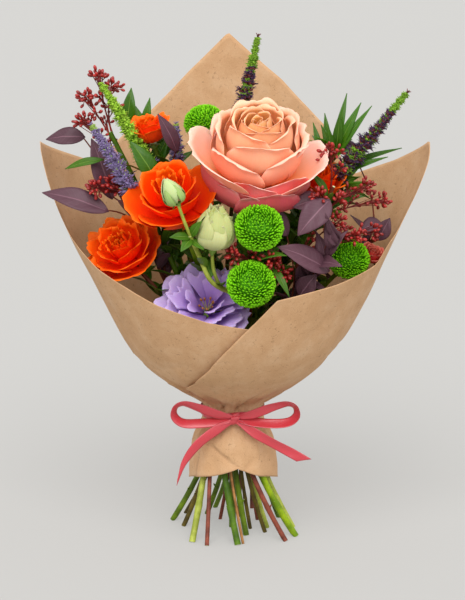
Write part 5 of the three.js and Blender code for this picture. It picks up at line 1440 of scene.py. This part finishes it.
def spike(name, materials):
    """A flower spike: whorls of florets over a slim stem, smaller towards the tip."""
    base, tip, width, change, kind = SPIKES[name]
    base, tip = np.array(base), np.array(tip)
    length = np.linalg.norm(tip - base)
    x, y, z = facing(tip - base)
    rng = np.random.default_rng(int(length * 10))
    growth = Growth()
    sway = x * 1.2
    path = arc(base, mix(base, tip, 0.5) + sway, tip - z * 0.5, 12)
    tube(growth, path, np.linspace(1.3, 0.45, 13), 8, 2, 0.3)
    spacing, group = 2.1, 7.5  # from whorl to whorl, and from clump to clump
    whorls = int(length / spacing)
    for k in range(whorls):
        share = (k + 0.5) / whorls
        clump = 0.5 + 0.5 * math.cos(2 * np.pi * (k * spacing) / group)
        full = width / 2 * (1 - 0.66 * share**1.7) * (0.74 + 0.3 * clump)
        count = 8 if share < 0.75 else 6
        turn = 2 * np.pi * np.arange(count) / count + k * 0.37 + rng.normal(0, 0.16, count)
        out = ways_round(x, y, turn)
        at = path[0] + (tip - base) * share * 0.97 + sway * 2 * share * (1 - share) + out * 0.7
        green = share > change + rng.normal(0, 0.04) or (kind == "dark" and clump < 0.2)
        whorl(growth, at, z, out, full, share, green, rng)
    tuft = 6
    out = ways_round(x, y, np.arange(tuft) * GOLDEN)
    strewn(growth, LIP, np.tile(tip - z * 2.0, (tuft, 1)), out * 0.35 + z, 5.0, 1.8, 3,
           rng.random(tuft), 1.0, towards=z)
    return growth.make(name.replace("_head_", "_florets_"), materials, [name], SPIKE_SLOTS[name])


# -------------------------------------------------------------- lisianthus

RUFFLE = {**CUP, "drop": 2, "wave": 3.0, "frill": 2.3, "lip": 7, "curl": 0.9, "round": 0.2, "fan": 0.9}
LISIANTHUS = {"base": (-23, -47, 221), "aim": (-0.06, -0.72, 0.69)}
LISIANTHUS_LAYERS = [
    {**RUFFLE, "angles": (60, 190, 310), "r": (3, 8, 11, 15), "h": (0, 10, 21, 27), "half": 44,
     "frill": 1.0},
    {**RUFFLE, "angles": (95, 165, 240, 20, 300), "r": (3, 13, 19, 26), "h": (0, 10, 19, 26), "half": 38},
    {**RUFFLE, "angles": (90, 160, 235, 305, 20), "r": (4, 18, 26, 35), "h": (0, 6, 14, 21),
     "half": 40, "wave": 3.8},
    {**RUFFLE, "angles": (60, 130, 200, 270, 340), "r": (4, 22, 30, 39), "h": (-1, 3, 9, 13),
     "half": 40, "wave": 4.2},
]
WHITE_BUD = {"base": (-17.7, -89, 289.9), "aim": (0.14, -0.05, 0.99)}
WHITE_BUD_LAYERS = [
    {**TIGHT, "angles": (0, 180), "r": (2, 8, 9, 3), "h": (2, 12, 30, 38), "half": 84, "lip": 4,
     "curl": 0.4, "wave": 1.0},
    {**TIGHT, "angles": (60, 180, 300), "r": (2, 14, 15, 4), "h": (1, 9, 28, 37), "half": 72, "lip": 4,
     "curl": 0.7, "wave": 1.4, "frill": 0.4},
    {**TIGHT, "angles": (20, 140, 260), "r": (3, 21, 20, 6), "h": (0, 4, 25, 35), "half": 70, "lip": 4,
     "curl": 0.8, "wave": 3.2, "frill": 1.3, "point": 0.1, "wrap": 5},
    {**TIGHT, "angles": (80, 200, 320), "r": (3, 22, 20, 10), "h": (0, 2, 21, 30), "half": 62, "lip": 5,
     "curl": 0.9, "wave": 3.4, "frill": 1.3, "point": 0.12, "wrap": 5},
    {**TIGHT, "angles": (20, 140, 255), "r": (3, 21, 21, 13), "h": (0, 1, 14, 24), "half": 48, "lip": 5,
     "curl": 1.1, "wave": 3.4, "frill": 1.4, "point": 0.14, "wrap": 4},
]
SMALL_BUD = {"base": (-48.6, -102.5, 334.2), "aim": (-0.46, -0.15, 0.87)}
SMALL_BUD_LAYERS = [
    {**TIGHT, "angles": (0, 120, 240), "r": (2, 11, 10, 2), "h": (0, 3, 15, 24), "half": 74, "wrap": 1.8,
     "lip": 2, "curl": 0.3, "wave": 0.2, "drop": 1},
]
SMALL_BUD_SEPALS = {**TIGHT, "angles": (30, 102, 174, 246, 318), "r": (3, 12, 12, 8),
                    "h": (-1, 0, 9, 16), "half": 24, "wrap": 0.3, "lip": 2, "curl": 0.4, "point": 0.2,
                    "round": 0.5, "drop": 3}


def lisianthus(materials):
    """The open lisianthus: ruffled petals round a cluster of stamens."""
    growth = Growth()
    petals(growth, LISIANTHUS["base"], LISIANTHUS["aim"], LISIANTHUS_LAYERS, 1, 41, 17)
    x, y, z = facing(LISIANTHUS["aim"])
    base = np.array(LISIANTHUS["base"])
    rng = np.random.default_rng(9)
    stamens = 9
    for k in range(stamens):
        turn = k * GOLDEN
        out = x * math.cos(turn) + y * math.sin(turn)
        end = base + out * 5.5 + z * (14 + 3 * rng.random())
        tube(growth, arc(base + z * 3, base + z * 10 + out * 2, end, 4), 0.4, 5, 1, 0.5)
        strewn(growth, BUD, end - z, z + out * 0.4, 4.2, 2.4, 2, rng.random())
    return growth.make("purple_lisianthus_petals", materials, ["purple_lisianthus_bloom"], "lilac_petal")


# ------------------------------------------------------------ the bouquet

# Skin and shade of each finish of the stems.
FINISHES = {
    "mid_green": ("#6A8410", "#465A06"), "bright_green": ("#8FA80C", "#5E7C06"),
    "dark_green": ("#547408", "#345206"), "pale_green": ("#B2BC50", "#8A9434"),
    "red_brown": ("#8A4430", "#5C2A1C"), "tan": ("#B58048", "#875A2E"), "olive": ("#6A5A14", "#43370C"),
}
# Side branches: stem, height where it leaves it, end and radius.
BRANCHES = [
    ("mum_front", 205, (16, -82.6, 250.2), 1.9),
    ("white_lisianthus", 250, (-17.6, -89, 290.6), 1.8),
    ("white_lisianthus", 299, (-48.9, -102.6, 334.8), 1.6),
    ("orange_rose_c", 210, (126, -20, 264), 1.6),
    ("spike_left", 292, (-92.2, -50, 336.4), 1.7),
]


def branches(growths):
    """Side branches that carry a bloom of their own."""
    for i, (name, z, end, radius) in enumerate(BRANCHES):
        end = np.array(end)
        for bend in bends(50 + i, 40, 2):
            path = twig_path(name, z, end, bend, 12)
            if lies_on(f"{name}_stem", [path[3], path[6], path[9]], radius + 0.35):
                tube(growths[name], path, np.linspace(radius * 1.05, radius * 0.85, 13), 9, SKIN, 0.4)
                break


def stems_and_leaves():
    """Every stem with its branches, leaves, buds and calyx, as one piece each."""
    growths = {name: Growth() for name in STEMS}
    for name in STEMS:
        main_stem(growths[name], name)
    branches(growths)
    placed_leaves(growths)
    side_leaves(growths)
    filler_leaves(growths)
    leaf_fans(growths)
    bud_sprays(growths)
    for name, (aim, size, _) in ROSES.items():
        calyx(growths[name], STEMS[name][1], aim, size**0.5)
    for name, bloom, size in (("orange_rose_c", CORAL, 0.5), ("white_lisianthus", WHITE_BUD, 0.75),
                              ("white_lisianthus", SMALL_BUD, 0.5),
                              ("purple_lisianthus", LISIANTHUS, 0.8)):
        calyx(growths[name], bloom["base"], bloom["aim"], size)
    skins = {name: stalk(f"{name}_stem_skin", *codes) for name, codes in FINISHES.items()}
    cut = cut_end()
    green = blade("green_leaf", "#38620A", "#56781C", "#7E9A42")
    narrow = blade("glossy_green_leaf", "#305C04", "#4C7A0E", "#74963A", 0.32)
    burgundy = blade("burgundy_leaf", "#54343E", "#6E4E5A", "#86606C", 0.45)
    red_twig = stalk("red_bud_twig", "#8E2B24", "#5E1B1A")
    # The buds' second colour is a painted highlight towards their tips.
    red_bud = berry("red_bud_skin", "#8E1A16", "#B9312A")
    leaves = {"dark": burgundy, "green": narrow}
    for name, (_, _, _, finish, slot) in STEMS.items():
        leaf = leaves.get(name.split("_")[0], green)
        growths[name].make(f"{name}_stalk", [skins[finish], cut, leaf, red_twig, red_bud],
                           [f"{name}_stem"], slot)


def roses():
    """The peach rose, the orange roses and the coral spray rose."""
    # Each petal's fourth colour darkens the inner face near the root, partly painted shade in the cup; the
    # fifth paints the rim, partly a painted highlight.
    peach = petal("peach_rose_petal",
                  [(0, "#FFB860"), (0.4, "#FFC092"), (0.7, "#FDCBB6"), (1, "#F9CFC8")],
                  [(0, "#FFBE7C"), (0.45, "#FFB08A"), (0.64, "#FC9A80"), (0.84, "#EA7874"), (1, "#D4505C")],
                  "#FF9234", "#FCC8BC", 0.12)
    orange = petal("orange_rose_petal",
                   [(0, "#FF7008"), (0.5, "#FF5200"), (1, "#FF6410")],
                   [(0, "#FF4404"), (0.6, "#FF3200"), (1, "#FF4A10")], "#FF2000", "#FF7C10", 0.1)
    coral = petal("coral_rose_petal", [(0, "#F0705C"), (1, "#E2604F")],
                  [(0, "#D8483F"), (1, "#C93B3F")], "#B92A30", "#F2A08E")
    for name, (aim, size, form) in ROSES.items():
        base = np.array(STEMS[name][1]) + unit(aim) * (5 * size + 1)
        growth = Growth()
        petals(growth, base, aim, ROSE_LAYERS[form], size, 10 + len(name) + ord(name[-1]),
               18 if form == "high" else 16)
        growth.make(f"{name}_petals", [peach if form == "high" else orange], [f"{name}_bloom"],
                    "peach_petal" if form == "high" else "orange_petal")
    growth = Growth()
    petals(growth, CORAL["base"], CORAL["aim"], ROSE_LAYERS["spray"], CORAL["size"], 77, 13)
    growth.make("coral_spray_rose_petals", [coral], ["coral_spray_rose_bloom"], "coral_petal")


def buds():
    """The two closed lisianthus flowers."""
    # Each petal's fourth colour darkens the inner face near the root, partly painted shade in the cup; the
    # fifth paints the rim, partly a painted highlight.
    cream = petal("cream_bud_petal", [(0, "#B9BA78"), (1, "#CCC896")], [(0, "#A4AE62"), (1, "#BCBA84")],
                  "#8C9848", "#D8D2A6", 0.3)
    pale = petal("pale_green_bud_petal", [(0, "#C9D8A0"), (1, "#DDE4BE")],
                 [(0, "#BDCC8E"), (1, "#CFDAA6")], "#A9BC72", "#E4E9C8", 0.12)
    sepal = blade("bud_sepal", "#7FA04C", "#94B062", "#B4C98A")
    growth = Growth()
    petals(growth, WHITE_BUD["base"], WHITE_BUD["aim"], WHITE_BUD_LAYERS, 1, 21, 19)
    growth.make("white_lisianthus_petals", [cream], ["white_lisianthus_bud"], "bud_cream")
    growth = Growth()
    petals(growth, SMALL_BUD["base"], SMALL_BUD["aim"], SMALL_BUD_LAYERS, 1, 22, 15)
    for angle in SMALL_BUD_SEPALS["angles"]:
        grid = petal_grid(SMALL_BUD["base"], SMALL_BUD["aim"], SMALL_BUD_SEPALS, angle, 1, angle / 400, 9)
        sheet(growth, grid, 0.4, 1, angle / 400)
    growth.make("small_lisianthus_petals", [pale, sepal], ["small_lisianthus_bud"], "bud_pale_green")


def heads():
    """The button mums and the flower spikes."""
    lime = floret("mum_floret", "#3A9004", "#80CE14")
    core = floret("mum_core", "#489608", "#58A60C")
    for name in MUMS:
        mum(name, lime, core)
    purple = floret("dark_purple_floret", "#2A1C34", "#54405F")
    mauve = floret("mauve_floret", "#554458", "#9383B0")
    green_bract = floret("green_spike_bract", "#4C7A10", "#A2CA40")
    pale_bract = floret("pale_green_bract", "#6C8A3C", "#9AB45A")
    dark_bract = floret("dark_green_bract", "#4A7418", "#7FA634")
    axis = stalk("spike_core_stem", "#6E8B2E", "#4A6626")
    tuft = floret("brown_red_floret", "#4A2A2E", "#7A4040")
    bracts = {"dark": dark_bract, "mauve": pale_bract, "green": green_bract}
    for name, (_, _, _, _, kind) in SPIKES.items():
        floret_skin = purple if kind == "dark" else mauve
        spike(name, [floret_skin, bracts[kind], axis, floret_skin if kind == "mauve" else tuft])


def lisianthus_bloom():
    # The petal's fourth colour darkens the inner face near the root, partly painted shade in the cup; the
    # fifth paints the rim, partly a painted highlight.
    lilac = petal("lilac_lisianthus_petal", [(0, "#C39EE2"), (1, "#DCBEF2")],
                  [(0, "#BA94DE"), (1, "#D2B0EE")], "#9468C2", "#E8D4F8", 0.26)
    thread = stalk("stamen_thread", "#C9C27A", "#A79A50")
    # The anthers' second colour is a painted highlight towards their tips.
    anther = berry("stamen_anther", "#9A5A22", "#C88A45")
    lisianthus([lilac, thread, anther])


# ---------------------------------------------------------- studio, camera

def studio():
    """The floor, a white world and two broad, soft suns."""
    mesh = bpy.data.meshes.new("floor")
    side = 14.0
    mesh.from_pydata([(-side, -side, 0), (side, -side, 0), (side, side, 0), (-side, side, 0)], [],
                     [(0, 1, 2, 3)])
    floor = bpy.data.objects.new("floor", mesh)
    bpy.context.scene.collection.objects.link(floor)
    mesh.materials.append(studio_floor())
    world = bpy.data.worlds.new("studio")
    world.use_nodes = True
    background = world.node_tree.nodes["Background"]
    background.inputs["Color"].default_value = linear("#FFFFFF")
    background.inputs["Strength"].default_value = 0.85
    bpy.context.scene.world = world
    for name, direction, energy, spread in (("key", (-0.08, -0.85, 1.05), 2.6, 50),
                                            ("fill", (0.9, -0.6, 0.5), 0.3, 60)):
        lamp = bpy.data.lights.new(name, "SUN")
        lamp.energy = energy
        lamp.angle = math.radians(spread)
        holder = bpy.data.objects.new(name, lamp)
        holder.rotation_euler = Vector(direction).to_track_quat("Z", "Y").to_euler()
        bpy.context.scene.collection.objects.link(holder)
    bpy.context.scene.view_settings.view_transform = "Standard"


def camera():
    """A long lens that looks a little down on the bunch."""
    place, target = Vector((0, -2.148, 0.699)), Vector((0, 0, 0.223))
    lens = bpy.data.cameras.new("camera")
    lens.sensor_fit = "VERTICAL"
    lens.sensor_height = 36
    lens.lens = 140.4
    holder = bpy.data.objects.new("camera", lens)
    holder.location = place
    holder.rotation_euler = (target - place).to_track_quat("-Z", "Y").to_euler()
    bpy.context.scene.collection.objects.link(holder)
    bpy.context.scene.camera = holder


camera()
studio()
wrapper()
ribbon()
twine()
stems_and_leaves()
roses()
buds()
lisianthus_bloom()
heads()
